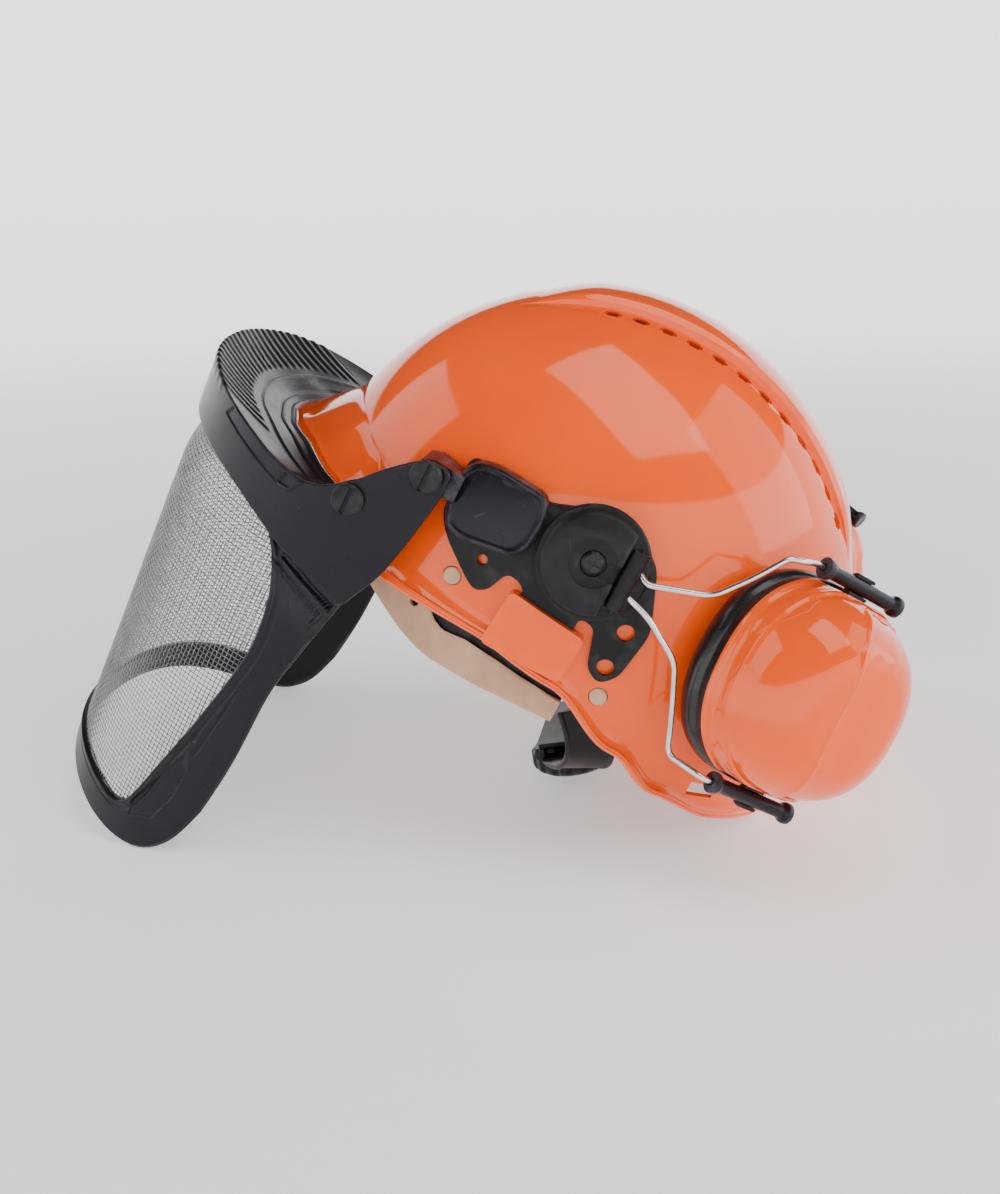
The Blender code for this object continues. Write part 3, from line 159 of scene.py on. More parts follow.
ROD_HALF_LENGTH, ROD_RADIUS, ROD_FLARE = 0.0215, 0.0030, 0.0044
UPPER_WIRE = ((0.1120, 0.0400, 0.0590), (0.1120, 0.0640, 0.0675), (0.1110, 0.0740, 0.0810),
              (0.1085, 0.0820, 0.0935), (0.1075, 0.0870, 0.0945))
LOWER_WIRE = ((0.1120, 0.0460, 0.0480), (0.1120, 0.0640, 0.0370), (0.1115, 0.0720, 0.0200),
              (0.1100, 0.0800, 0.0010))

# ---------------------------------------------------------------- harness
BAND_HALF_WIDTH, BAND_FRONT, BAND_CENTRE_Y = 0.0770, 0.0950, 0.0
BAND_END_Y = 0.044
BAND_THICK = 0.0020
STRAP_WIDTH, STRAP_THICK = 0.018, 0.0016
STRAP_TOP = 0.1130
KNOB_CENTRE = Vector((0.0, 0.0545, -0.0595))
KNOB_TILT = math.radians(37)        # knob axis, back from straight down
KNOB_RADIUS = 0.0205

# ---------------------------------------------------------------- raised and sunken lines
GUARD_PANEL = ((-0.1431, 0.0320), (-0.1395, 0.0378), (-0.1053, 0.0290), (-0.1082, 0.0220))
GUARD_LINES = (                     # points of y and z, half width, height
    (GUARD_PANEL + GUARD_PANEL[:1], 0.0009, -0.0007),
    (((-0.1082, 0.0220), (-0.1030, 0.0222), (-0.0985, 0.0285)), 0.0009, 0.0005),
)
FRAME_LINES = (
    (((-0.0940, -0.0050), (-0.0675, -0.0150)), 0.0016, -0.0014),
    (((-0.0985, -0.0080), (-0.0690, -0.0200), (-0.0720, -0.0260)), 0.0009, 0.0006),
    (((-0.0934, -0.0960), (-0.0934, -0.0960)), 0.0018, 0.0014),
    (((-0.0915, -0.1020), (-0.0868, -0.0700)), 0.0009, -0.0005),
)
FRAME_PANELS = (
    (((-0.1083, -0.1470), (-0.1095, -0.1400), (-0.0960, -0.1040), (-0.0921, -0.1110),
      (-0.0929, -0.1280), (-0.0977, -0.1410)), -0.0010),
)
# lines on a cup's dome: points across and up the cup, half width, height
CUP_LINES = (
    (((-0.0050, 0.0400), (-0.0095, 0.0320), (-0.0113, 0.0250), (-0.0107, 0.0100),
      (-0.0111, -0.0048), (-0.0097, -0.0183), (-0.0048, -0.0336), (-0.0020, -0.0400)),
     0.0016, 0.0006),
    (((0.0180, 0.0395), (0.0300, 0.0290), (0.0345, 0.0185), (0.0362, 0.0030),
      (0.0350, -0.0121), (0.0290, -0.0270), (0.0200, -0.0390)), 0.0014, 0.0005),
)
CUP_FACET = CUP_LINES[0][0] + tuple(reversed(CUP_LINES[1][0]))
CUP_FACET_OPEN = len(CUP_LINES[0][0])


# ================================================================ helpers
HELMET = Matrix.Translation(REST_SHIFT) @ Matrix.Rotation(-PITCH, 4, "X")


def skin(verts, faces):
    """A bmesh from lists of points and faces."""
    mesh = bpy.data.meshes.new("skin")
    mesh.from_pydata(verts, [], faces)
    bm = bmesh.new()
    bm.from_mesh(mesh)
    bpy.data.meshes.remove(mesh)
    return bm


def mirrored(bm):
    """Turn a left-hand bmesh into its right-hand twin."""
    bmesh.ops.scale(bm, vec=(-1, 1, 1), verts=bm.verts)
    bmesh.ops.reverse_faces(bm, faces=bm.faces)
    return bm


def corner_curve(a, corner, b, steps):
    """Points of a curve from a to b that bends at a corner."""
    shares = [k / steps for k in range(steps + 1)]
    return [a * (1 - t) ** 2 + corner * 2 * t * (1 - t) + b * t * t for t in shares]


def corner_ends(before, corner, after, radius):
    """Where a corner's rounding starts and ends on the two runs that meet there."""
    back, ahead = before - corner, after - corner
    reach = min(radius, back.length * 0.45, ahead.length * 0.45)
    return corner + back.normalized() * reach, corner + ahead.normalized() * reach


def signed_power(value, power):
    return math.copysign(abs(value) ** power, value)


def solid(name, bm, sharp=32):
    """A bmesh in the helmet frame as a smooth-shaded object, still in the helmet frame."""
    mesh = bpy.data.meshes.new(name)
    bm.to_mesh(mesh)
    bm.free()
    mesh.shade_smooth()
    mesh.set_sharp_from_angle(angle=math.radians(sharp))
    obj = bpy.data.objects.new(name, mesh)
    bpy.context.scene.collection.objects.link(obj)
    return obj


def bake(obj, sharp):
    """Apply the object's modifiers to its mesh."""
    graph = bpy.context.evaluated_depsgraph_get()
    mesh = bpy.data.meshes.new_from_object(obj.evaluated_get(graph), depsgraph=graph)
    obj.modifiers.clear()
    old = obj.data
    obj.data = mesh
    bpy.data.meshes.remove(old)
    mesh.shade_smooth()
    mesh.set_sharp_from_angle(angle=math.radians(sharp))
    return obj


def carve(obj, bm, operation, sharp):
    """Join a closed bmesh to an object, or cut it away."""
    tool = solid(obj.name + "_tool", bm)
    mod = obj.modifiers.new("Boolean", "BOOLEAN")
    mod.operation = operation
    mod.object = tool
    mod.solver = "EXACT"
    bake(obj, sharp)
    mesh = tool.data
    bpy.data.objects.remove(tool)
    bpy.data.meshes.remove(mesh)
    return obj


def bevelled(obj, width, segments, angle):
    """Give an object a modifier that rounds its edges."""
    mod = obj.modifiers.new("Bevel", "BEVEL")
    mod.width = width
    mod.segments = segments
    mod.limit_method = "ANGLE"
    mod.angle_limit = math.radians(angle)


def soften(obj, width, angle=35):
    """Round an object's edges a little."""
    bevelled(obj, width, 2, angle)
    return bake(obj, 40)


def place(obj, mat, body, replaces, hand=1):
    """Set a finished object down in the shared frame, on its body; hand -1 mirrors it."""
    mesh = obj.data
    if hand < 0:
        mesh.transform(Matrix.Diagonal((-1, 1, 1, 1)))
        mesh.flip_normals()
    mesh.transform(HELMET)
    mesh.materials.clear()
    mesh.materials.append(mat)
    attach(obj, body)
    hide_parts(*replaces)
    return obj


def piece(name, bm, mat, body, replaces, hand=1, sharp=32):
    return place(solid(name, bm, sharp), mat, body, replaces, hand)


def rounded(outline, radius, steps=5):
    """An outline of 2-D points with its corners rounded off."""
    out = []
    points = [Vector(p) for p in outline]
    for before, p, after in zip(points[-1:] + points, points, points[1:] + points[:1]):
        a, b = corner_ends(before, p, after, radius)
        out += [(q.x, q.y) for q in corner_curve(a, p, b, steps)]
    return out


def smoothstep(low, high, value):
    t = min(max((value - low) / (high - low), 0.0), 1.0)
    return t * t * (3 - 2 * t)


def line_distance(point, line):
    """Distance from a 2-D point to a polyline."""
    best = 1e9
    px, py = point
    for (ax, ay), (bx, by) in zip(line, line[1:]):
        dx, dy = bx - ax, by - ay
        length = dx * dx + dy * dy
        t = min(max(((px - ax) * dx + (py - ay) * dy) / length, 0.0), 1.0) if length else 0.0
        best = min(best, math.hypot(px - ax - t * dx, py - ay - t * dy))
    return best


def inside(point, outline):
    """True if a 2-D point lies within a closed outline."""
    px, py = point
    hit = False
    for (ax, ay), (bx, by) in zip(outline, list(outline[1:]) + [outline[0]]):
        if (ay > py) != (by > py) and px < (bx - ax) * (py - ay) / (by - ay) + ax:
            hit = not hit
    return hit


def section_loft(rings, ring_of_rings=False):
    """Skin equal closed rings by index; rings of rings close on themselves."""
    count, size = len(rings), len(rings[0])
    verts = [tuple(p) for ring in rings for p in ring]
    faces = []
    for i in range(count if ring_of_rings else count - 1):
        n = (i + 1) % count
        for j in range(size):
            k = (j + 1) % size
            faces.append((i * size + j, i * size + k, n * size + k, n * size + j))
    if not ring_of_rings:
        faces.append(tuple(reversed(range(size))))
        faces.append(tuple((count - 1) * size + j for j in range(size)))
    bm = skin(verts, faces)
    bmesh.ops.remove_doubles(bm, verts=bm.verts, dist=1e-6)
    bmesh.ops.recalc_face_normals(bm, faces=bm.faces)
    return bm


# ================================================================ materials
def material(name):
    """A new node material with its Principled shader."""
    mat = bpy.data.materials.new(name)
    mat.use_nodes = True
    shader = mat.node_tree.nodes["Principled BSDF"]
    return mat, mat.node_tree, shader


def node(tree, kind, **inputs):
    made = tree.nodes.new(kind)
    for key, value in inputs.items():
        made.inputs[key.replace("_", " ")].default_value = value
    return made


def speckle(tree, scale, detail=3.0, roughness=0.55):
    """Noise in the piece's own coordinates, so that it stays on the piece as it moves."""
    coords = tree.nodes.new("ShaderNodeTexCoord")
    made = node(tree, "ShaderNodeTexNoise", Scale=scale, Detail=detail, Roughness=roughness)
    tree.links.new(coords.outputs["Object"], made.inputs["Vector"])
    return made.outputs["Fac"]


def spread(tree, source, low, high, to_low, to_high):
    made = node(tree, "ShaderNodeMapRange")
    for key, value in zip(("From Min", "From Max", "To Min", "To Max"),
                          (low, high, to_low, to_high)):
        made.inputs[key].default_value = value
    tree.links.new(source, made.inputs["Value"])
    return made.outputs["Result"]


def blend_colour(tree, factor, first, second):
    made = tree.nodes.new("ShaderNodeMix")
    made.data_type = "RGBA"
    for socket, value in ((6, first), (7, second)):
        if isinstance(value, tuple):
            made.inputs[socket].default_value = (*value, 1.0)
        else:
            tree.links.new(value, made.inputs[socket])
    tree.links.new(factor, made.inputs[0])
    return made.outputs[2]


def mottle(tree, scale, detail, high, first, second):
    """Two colours mixed by soft noise."""
    share = spread(tree, speckle(tree, scale, detail), 0.3, high, 0, 1)
    return blend_colour(tree, share, first, second)


def cells(tree, scale):
    """Distance to the nearest cell's middle, in the piece's own coordinates."""
    coords = tree.nodes.new("ShaderNodeTexCoord")
    made = node(tree, "ShaderNodeTexVoronoi", Scale=scale)
    tree.links.new(coords.outputs["Object"], made.inputs["Vector"])
    return made.outputs["Distance"]


def bump(tree, shader, height, strength, distance):
    made = node(tree, "ShaderNodeBump", Strength=strength, Distance=distance)
    tree.links.new(height, made.inputs["Height"])
    if shader.inputs["Normal"].is_linked:
        tree.links.new(shader.inputs["Normal"].links[0].from_socket, made.inputs["Normal"])
    tree.links.new(made.outputs["Normal"], shader.inputs["Normal"])


def worn_and_lit_edge_mask(tree):
    """1 along convex edges, where handling rubs a surface and where the edge is lightened as a painted
    highlight.
    """
    geometry = tree.nodes.new("ShaderNodeNewGeometry")
    return spread(tree, geometry.outputs["Pointiness"], 0.515, 0.56, 0.0, 1.0)


def plastic(name, colour, darker, roughness, grain, grain_strength, gloss,
            wear_and_highlight=(0.10, 0.10, 0.11), wear_and_highlight_amount=0.25, coat=0.0, tint=(1, 1, 1)):
    """Moulded plastic: slight mottling, moulded grain and paler convex edges, partly rubbed wear and
    partly a painted highlight.
    """
    mat, tree, shader = material(name)
    mottled = mottle(tree, 14, 3.0, 0.7, colour, darker)
    # painted highlight: convex edges are lightened towards the edge colour, partly as rubbed wear and
    # partly as the light that edges catch
    rub_and_highlight = tree.nodes.new("ShaderNodeMath")
    rub_and_highlight.operation = "MULTIPLY"
    tree.links.new(worn_and_lit_edge_mask(tree), rub_and_highlight.inputs[0])
    tree.links.new(spread(tree, speckle(tree, 160), 0.35, 0.75, 0, wear_and_highlight_amount), rub_and_highlight.inputs[1])
    tree.links.new(blend_colour(tree, rub_and_highlight.outputs[0], mottled, wear_and_highlight), shader.inputs["Base Color"])
    tree.links.new(spread(tree, speckle(tree, 55, 5), 0.3, 0.7, roughness * 0.85,
                          roughness * 1.2), shader.inputs["Roughness"])
    shader.inputs["Coat Weight"].default_value = coat
    shader.inputs["Coat Roughness"].default_value = 0.04
    shader.inputs["Specular IOR Level"].default_value = gloss
    shader.inputs["Specular Tint"].default_value = (*tint, 1.0)
    bump(tree, shader, speckle(tree, grain, 4, 0.6), grain_strength, 0.00012)
    return mat


def metal(name, colour, roughness):
    """Drawn or turned steel with fine marks."""
    mat, tree, shader = material(name)
    shader.inputs["Metallic"].default_value = 1.0
    darker = tuple(c * 0.72 for c in colour)
    tint = blend_colour(tree, spread(tree, speckle(tree, 120, 4), 0.35, 0.7, 0, 1), colour, darker)
    tree.links.new(tint, shader.inputs["Base Color"])
    tree.links.new(spread(tree, speckle(tree, 400, 3), 0.3, 0.7, roughness * 0.8, roughness * 1.3),
                   shader.inputs["Roughness"])
    bump(tree, shader, speckle(tree, 900, 2), 0.12, 0.00006)
    return mat


def leather(name, colour, darker):
    mat, tree, shader = material(name)
    tree.links.new(mottle(tree, 60, 6, 0.72, colour, darker), shader.inputs["Base Color"])
    tree.links.new(spread(tree, speckle(tree, 90), 0.3, 0.7, 0.48, 0.66),
                   shader.inputs["Roughness"])
    bump(tree, shader, cells(tree, 950.0), 0.35, 0.00022)
    bump(tree, shader, speckle(tree, 220, 4), 0.25, 0.0004)
    return mat


def webbing(name, colour, darker, pitch):
    """Woven band: fine crossed ribs at the thread pitch, with painted shade darkening the hollows
    between the threads.
    """
    mat, tree, shader = material(name)
    coords = tree.nodes.new("ShaderNodeTexCoord")
    heights = []
    for direction in ("X", "Y"):
        wave = node(tree, "ShaderNodeTexWave", Scale=1 / pitch / 3.14, Distortion=0.4, Detail=1.0)
        wave.bands_direction = direction
        tree.links.new(coords.outputs["Object"], wave.inputs["Vector"])
        heights.append(wave.outputs["Fac"])
    thread_relief_and_shade = tree.nodes.new("ShaderNodeMath")
    thread_relief_and_shade.operation = "MULTIPLY"
    tree.links.new(heights[0], thread_relief_and_shade.inputs[0])
    tree.links.new(heights[1], thread_relief_and_shade.inputs[1])
    # painted shade: the colour goes darker where the ribs dip between the threads
    tree.links.new(blend_colour(tree, thread_relief_and_shade.outputs[0], darker, colour),
                   shader.inputs["Base Color"])
    shader.inputs["Roughness"].default_value = 0.82
    shader.inputs["Sheen Weight"].default_value = 0.25
    bump(tree, shader, thread_relief_and_shade.outputs[0], 0.5, 0.0003)
    return mat


def vinyl(name, colour):
    mat, tree, shader = material(name)
    tree.links.new(mottle(tree, 40, 5, 0.7, colour, tuple(c * 0.6 for c in colour)),
                   shader.inputs["Base Color"])
    tree.links.new(spread(tree, speckle(tree, 70, 4), 0.3, 0.7, 0.16, 0.30),
                   shader.inputs["Roughness"])
    bump(tree, shader, cells(tree, 1400.0), 0.16, 0.00012)
    bump(tree, shader, speckle(tree, 90, 3), 0.2, 0.0007)
    return mat


def foam(name, colour):
    mat, tree, shader = material(name)
    pore_relief_and_shade = cells(tree, 1100.0)
    # painted shade: the base colour darkens to a third in each pore's hollow; the same cells also give
    # the pores' bump
    tree.links.new(blend_colour(tree, pore_relief_and_shade, tuple(c * 0.3 for c in colour), colour),
                   shader.inputs["Base Color"])
    shader.inputs["Roughness"].default_value = 0.95
    bump(tree, shader, pore_relief_and_shade, 0.8, 0.0008)
    return mat


# the edge colours below stand partly for rubbed wear and partly for a painted highlight, on the satin a
# violet-grey painted sheen
ORANGE = plastic("orange_gloss", (1.0, 0.098, 0.0), (0.95, 0.080, 0.0), 0.09, 420, 0.03, 0.5,
                 wear_and_highlight=(1.0, 0.36, 0.08), wear_and_highlight_amount=0.12, coat=0.30, tint=(1.0, 0.76, 0.60))
BLACK = plastic("black_moulded", (0.005, 0.005, 0.0055), (0.010, 0.009, 0.011), 0.40, 1800, 0.22,
                0.22)
SATIN = plastic("black_satin", (0.005, 0.0045, 0.006), (0.008, 0.0075, 0.010), 0.30, 1400, 0.16,
                0.28, wear_and_highlight=(0.16, 0.15, 0.18), wear_and_highlight_amount=0.4, tint=(0.93, 0.88, 1.0))
WIRE_STEEL = metal("bright_wire", (0.80, 0.80, 0.81), 0.20)
MESH_STEEL = metal("screen_wire", (0.30, 0.30, 0.32), 0.34)
SCREW_STEEL = metal("blackened_screw", (0.035, 0.035, 0.038), 0.34)
TAN = leather("tan_leather", (0.64, 0.40, 0.25), (0.50, 0.29, 0.17))
WEBBING = webbing("black_webbing", (0.050, 0.050, 0.055), (0.012, 0.012, 0.014), 0.0011)
VINYL = vinyl("cushion_vinyl", (0.013, 0.013, 0.015))
FOAM = foam("grey_foam", (0.20, 0.20, 0.21))


# ================================================================ shared shapes
def loft(rings, capped=True):
    """Skin a list of equal closed point rings."""
    bm = bmesh.new()
    rows = [[bm.verts.new(p) for p in ring] for ring in rings]
    count = len(rows[0])
    for a, b in zip(rows, rows[1:]):
        for i in range(count):
            j = (i + 1) % count
            bm.faces.new((a[i], a[j], b[j], b[i]))
    if capped:
        bm.faces.new(list(reversed(rows[0])))
        bm.faces.new(rows[-1])
    bmesh.ops.recalc_face_normals(bm, faces=bm.faces)
    return bm


def smooth_steps(points, steps, closed=False):
    """A Catmull-Rom curve through tuples of numbers, with a number of steps per span."""
    count = len(points)
    out = []
    for i in range(count if closed else count - 1):
        quad = []
        for k in (i - 1, i, i + 1, i + 2):
            quad.append(points[k % count] if closed else points[min(max(k, 0), count - 1)])
        for s in range(steps):
            t = s / steps
            out.append(tuple(
                0.5 * (2 * b + (c - a) * t + (2 * a - 5 * b + 4 * c - d) * t * t
                       + (3 * b - a - 3 * c + d) * t ** 3)
                for a, b, c, d in zip(*quad)))
    if not closed:
        out.append(tuple(points[-1]))
    return out


def between(stations, key):
    """Read the columns of a table of stations at a key, with a smooth blend."""
    rows = sorted(stations)
    key = min(max(key, rows[0][0]), rows[-1][0])
    for low, high in zip(rows, rows[1:]):
        if key <= high[0]:
            t = (key - low[0]) / (high[0] - low[0])
            t = t * t * (3 - 2 * t)
            return [a + (b - a) * t for a, b in zip(low[1:], high[1:])]
    return list(rows[-1][1:])


def frame_matrix(origin, x_axis, y_axis, z_axis):
    rotation = Matrix((x_axis, y_axis, z_axis)).transposed()
    return Matrix.Translation(origin) @ rotation.to_4x4()


def turned(profile, matrix, segments):
    """A solid of revolution about local Z; the profile is (radius, height) from axis to axis."""
    rings = []
    for radius, height in profile:
        rings.append([matrix @ Vector((radius * math.cos(a), radius * math.sin(a), height))
                      for a in (math.tau * k / segments for k in range(segments))])
    return loft(rings)


def cylinder(matrix, radius, low, high, segments):
    return turned(((radius, low), (radius, high)), matrix, segments)


def block(size, centre, matrix=Matrix.Identity(4)):
    bm = bmesh.new()
    bmesh.ops.create_cube(bm, size=1.0)
    bmesh.ops.scale(bm, vec=size, verts=bm.verts)
    bmesh.ops.translate(bm, vec=centre, verts=bm.verts)
    bmesh.ops.transform(bm, matrix=matrix, verts=bm.verts)
    return bm


def bar(points, radius, sides):
    """A round bar through points, with flat ends."""
    points = [Vector(p) for p in points]
    rings = []
    normal = Vector((0.2, 0.1, 1.0))
    for i, p in enumerate(points):
        ahead = points[min(i + 1, len(points) - 1)] - points[max(i - 1, 0)]
        ahead.normalize()
        side = ahead.cross(normal).normalized()
        normal = side.cross(ahead)
        rings.append([p + radius * (math.cos(a) * side + math.sin(a) * normal)
                      for a in (math.tau * k / sides for k in range(sides))])
    return loft(rings)


def merge(*parts):
    """Several closed bodies in one bmesh, for cutters."""
    whole = bmesh.new()
    for bm in parts:
        mesh = bpy.data.meshes.new("merge")
        bm.to_mesh(mesh)
        bm.free()
        whole.from_mesh(mesh)
        bpy.data.meshes.remove(mesh)
    return whole


def plan_point(angle, scale):
    """Point of the shell's plan outline at an angle from the front, at a scale of its size."""
    s, c = math.sin(angle), math.cos(angle)
    e = 2 / SHELL_POWER
    reach = (SHELL_FRONT if c > 0 else SHELL_REAR) * scale
    x = SHELL_HALF_WIDTH * scale * signed_power(s, e)
    y = SHELL_CENTRE_Y - reach * signed_power(c, e)
    return x, y


def side_x(y, z):
    """Half-width of the shell's outside at a height."""
    up = max(z - SHELL_CENTRE_Z, 0.0) / SHELL_RISE
    scale = math.sqrt(max(1 - up * up, 1e-6))
    reach = SHELL_FRONT if y < SHELL_CENTRE_Y else SHELL_REAR
    along = min(abs(y - SHELL_CENTRE_Y) / (reach * scale), 0.999)
    return SHELL_HALF_WIDTH * scale * (1 - along ** SHELL_POWER) ** (1 / SHELL_POWER)


def dome_z(x, y):
    """Height of the shell's outside over a point of its plan."""
    reach = SHELL_FRONT if y < SHELL_CENTRE_Y else SHELL_REAR
    k = ((abs(x) / SHELL_HALF_WIDTH) ** SHELL_POWER
         + (abs(y - SHELL_CENTRE_Y) / reach) ** SHELL_POWER) ** (1 / SHELL_POWER)
    return SHELL_CENTRE_Z + SHELL_RISE * math.sqrt(max(1 - k * k, 0.0))


def rim_point(angle, share):
    """A point on the brim: share 0 is where it leaves the dome, share 1 its outer edge."""
    turn = abs(math.degrees(math.atan2(math.sin(angle), math.cos(angle))))
    height, reach, drop = between(RIM_STATIONS, turn)
    up = max(height - SHELL_CENTRE_Z, 0.0) / SHELL_RISE
    scale = math.sqrt(1 - up * up)
    x, y = plan_point(angle, scale)
    ahead, behind = plan_point(angle + 0.01, scale), plan_point(angle - 0.01, scale)
    out = Vector((ahead[1] - behind[1], behind[0] - ahead[0], 0)).normalized()
    if out.dot(Vector((x, y - SHELL_CENTRE_Y, 0))) < 0:
        out = -out
    return Vector((x, y, height)) + out * reach * share - Vector((0, 0, drop * share))


def conformed(outline, inner, step, outer=None, face_x=None):
    """A plate on the shell's side: an outline in y and z, cut in strips so that it can bend.

    inner and outer are heights above the shell; face_x gives a flat outer face instead.
    """
    flat = bmesh.new()
    flat.faces.new([flat.verts.new((0, y, z)) for y, z in outline])
    for axis in (1, 2):
        low = min(p[axis - 1] for p in outline)
        high = max(p[axis - 1] for p in outline)
        cuts = max(int((high - low) / step), 1)
        normal = Vector((0, 1, 0)) if axis == 1 else Vector((0, 0, 1))
        for k in range(1, cuts):
            level = normal * (low + (high - low) * k / cuts)
            bmesh.ops.bisect_plane(flat, geom=flat.verts[:] + flat.edges[:] + flat.faces[:],
                                   plane_co=level, plane_no=normal, dist=1e-5)
    bmesh.ops.triangulate(flat, faces=flat.faces[:])
    back = {v: Vector((side_x(v.co.y, v.co.z) + inner, v.co.y, v.co.z)) for v in flat.verts}
    front = {}
    for v in flat.verts:
        x = face_x if face_x is not None else side_x(v.co.y, v.co.z) + outer
        front[v] = Vector((x, v.co.y, v.co.z))
    bm = bmesh.new()
    lower = {v: bm.verts.new(p) for v, p in back.items()}
    upper = {v: bm.verts.new(p) for v, p in front.items()}
    for f in flat.faces:
        bm.faces.new([lower[v] for v in f.verts])
        bm.faces.new([upper[v] for v in reversed(f.verts)])
    for e in flat.edges:
        if len(e.link_faces) == 1:
            a, b = e.verts
            bm.faces.new((lower[a], lower[b], upper[b], upper[a]))
    flat.free()
    bmesh.ops.recalc_face_normals(bm, faces=bm.faces)
    return bm


def side_matrix(y, z):
    """A frame whose local Z points out to the left at a height and depth."""
    return frame_matrix(Vector((0, y, z)), Vector((0, 1, 0)), Vector((0, 0, 1)), Vector((1, 0, 0)))


def visor_depth(z):
    share = (z - VISOR_DEPTH_BOTTOM_Z) / (VISOR_DEPTH_TOP_Z - VISOR_DEPTH_BOTTOM_Z)
    return VISOR_DEPTH_BOTTOM + (VISOR_DEPTH_TOP - VISOR_DEPTH_BOTTOM) * share


def visor_angle(y):
    """Turn from the chin or brow centre for a depth on the curved front."""
    share = min(max((VISOR_BACK_Y - y) / VISOR_DEPTH_TOP, 0.0), 1.0)
    return math.acos(share ** (VISOR_POWER / 2))


def travel(y):
    """Distance-like coordinate round the visor: 0 at the front centre, 1 where it turns flat."""
    if y >= VISOR_BACK_Y:
        return 1.0 + (y - VISOR_BACK_Y) / SIDE_RUN
    return visor_angle(y) / (math.pi / 2)


def visor_point(along, z, inset=0.0):
    """A point of the visor's wall at a travel coordinate and a height."""
    half = VISOR_HALF_WIDTH - inset
    turn = min(abs(along), 1.0) * math.pi / 2
    e = 2 / VISOR_POWER
    x = half * math.sin(turn) ** e
    y = VISOR_BACK_Y - (visor_depth(z) - inset) * max(math.cos(turn), 0.0) ** e
    if abs(along) > 1.0:
        y = VISOR_BACK_Y + (abs(along) - 1.0) * SIDE_RUN
    return Vector((math.copysign(x, along) if along else 0.0, y, z))


def guard_levels(along):
    table = [(travel(y), low, high) for y, low, high in GUARD_STATIONS]
    return between_linear(table, abs(along))


def between_linear(stations, key):
    rows = sorted(stations)
    key = min(max(key, rows[0][0]), rows[-1][0])
    for low, high in zip(rows, rows[1:]):
        if key <= high[0]:
            t = (key - low[0]) / (high[0] - low[0])
            return [a + (b - a) * t for a, b in zip(low[1:], high[1:])]
    return list(rows[-1][1:])


def peak_edge(heading):
    """Outer edge of the helmet's peak in the direction of a heading from the shell's centre."""
    low, high = 0.0, math.pi / 2
    for _ in range(30):
        mid = (low + high) / 2
        p = rim_point(mid, 1.0)
        if math.atan2(p.x, -(p.y - SHELL_CENTRE_Y)) < heading:
            low = mid
        else:
            high = mid
    return rim_point((low + high) / 2, 1.0)


def frame_inset(along, z):
    """How far the frame's face lies inside the guard's: more where it tucks in behind it."""
    low, _ = guard_levels(along)
    share = smoothstep(0.0, FRAME_FLARE, low - z - 0.0012)
    return FRAME_INSET_BEHIND + (FRAME_INSET_BELOW - FRAME_INSET_BEHIND) * share


def frame_loops(steps):
    """Outer and opening edges of the frame, as (travel, height) pairs round the full loop."""
    half = [(travel(a), b, travel(c), d) for a, b, c, d in FRAME_STATIONS]
    half[0] = (0.0, half[0][1], 0.0, half[0][3])
    half[-1] = (0.0, half[-1][1], 0.0, half[-1][3])
    full = half + [(-a, b, -c, d) for a, b, c, d in reversed(half[1:-1])]
    return smooth_steps(full, steps, closed=True)


def hub_matrix():
    out = Vector((math.cos(HUB_TILT), 0, math.sin(HUB_TILT)))
    up = Vector((-math.sin(HUB_TILT), 0, math.cos(HUB_TILT)))
    return frame_matrix(HUB_CENTRE, Vector((0, 1, 0)), up, out)


def cup_matrix():
    """Local X lies along the guide rods, local Y up and local Z out of the cup."""
    out = Vector((math.cos(CUP_TURN) * math.cos(CUP_LEAN),
                  math.sin(CUP_TURN) * math.cos(CUP_LEAN), math.sin(CUP_LEAN)))
    along = Vector((-math.sin(CUP_TURN), math.cos(CUP_TURN), 0))
    up = out.cross(along)
    roll = Matrix.Rotation(CUP_ROLL, 4, "Z")
    return frame_matrix(CUP_CENTRE, along, up, out) @ roll


def rod_matrix(cup, rod_v):
    """Local Z runs along the guide rod."""
    origin = cup @ Vector((0, rod_v, 0))
    turn = cup.to_3x3()
    return frame_matrix(origin, turn @ Vector((0, 1, 0)), turn @ Vector((0, 0, 1)),
                        turn @ Vector((1, 0, 0)))


def pin_matrix(cup, inward):
    """Local Z runs from a guide rod's middle towards the cup's centre."""
    turn = cup.to_3x3()
    out, towards = turn @ Vector((0, 0, 1)), turn @ Vector((0, inward, 0))
    spot = cup @ Vector((0, -inward * ROD_OFFSET, 0))
    return frame_matrix(spot, out, towards.cross(out), towards)


def band_floor(y):
    """Lower edge of the sweatband: low at the sides, higher across the brow."""
    share = min(max((-y - 0.020) / 0.060, 0.0), 1.0)
    return -0.022 + 0.016 * share * share * (3 - 2 * share)


def knob_matrix():
    """Local Z points out of the knob, down and to the rear; local Y runs along the strap."""
    out = Vector((0, math.sin(KNOB_TILT), -math.cos(KNOB_TILT)))
    return frame_matrix(KNOB_CENTRE, Vector((1, 0, 0)), out.cross(Vector((1, 0, 0))), out)


# ================================================================ shell
SHELL_COLUMNS = 288
DOME_RINGS = 44
BRIM_RINGS = 9
CROWN_STEPS = 150                   # sections along the ridge and its grooves
LIP_HEIGHT, LIP_WIDTH = 0.0012, 0.0040     # the bead rolled along the brim's edge
LIP_ROUND = ((0.55, 0.30), (0.90, -0.20), (1.0, -0.85), (0.85, -1.6), (0.35, -2.2), (-0.4, -2.5))
GROOVE_OUTER, GROOVE_DEPTH = 0.0355, 0.0018
GROOVE_FRONT_Y, GROOVE_REAR_Y = -0.070, 0.120
VENT_OPENING = (0.0074, 0.0074, 0.016)
TONGUE_SLOT = ((-0.0012, -0.006), (0.0248, -0.006), (0.0248, 0.040), (-0.0012, 0.040))


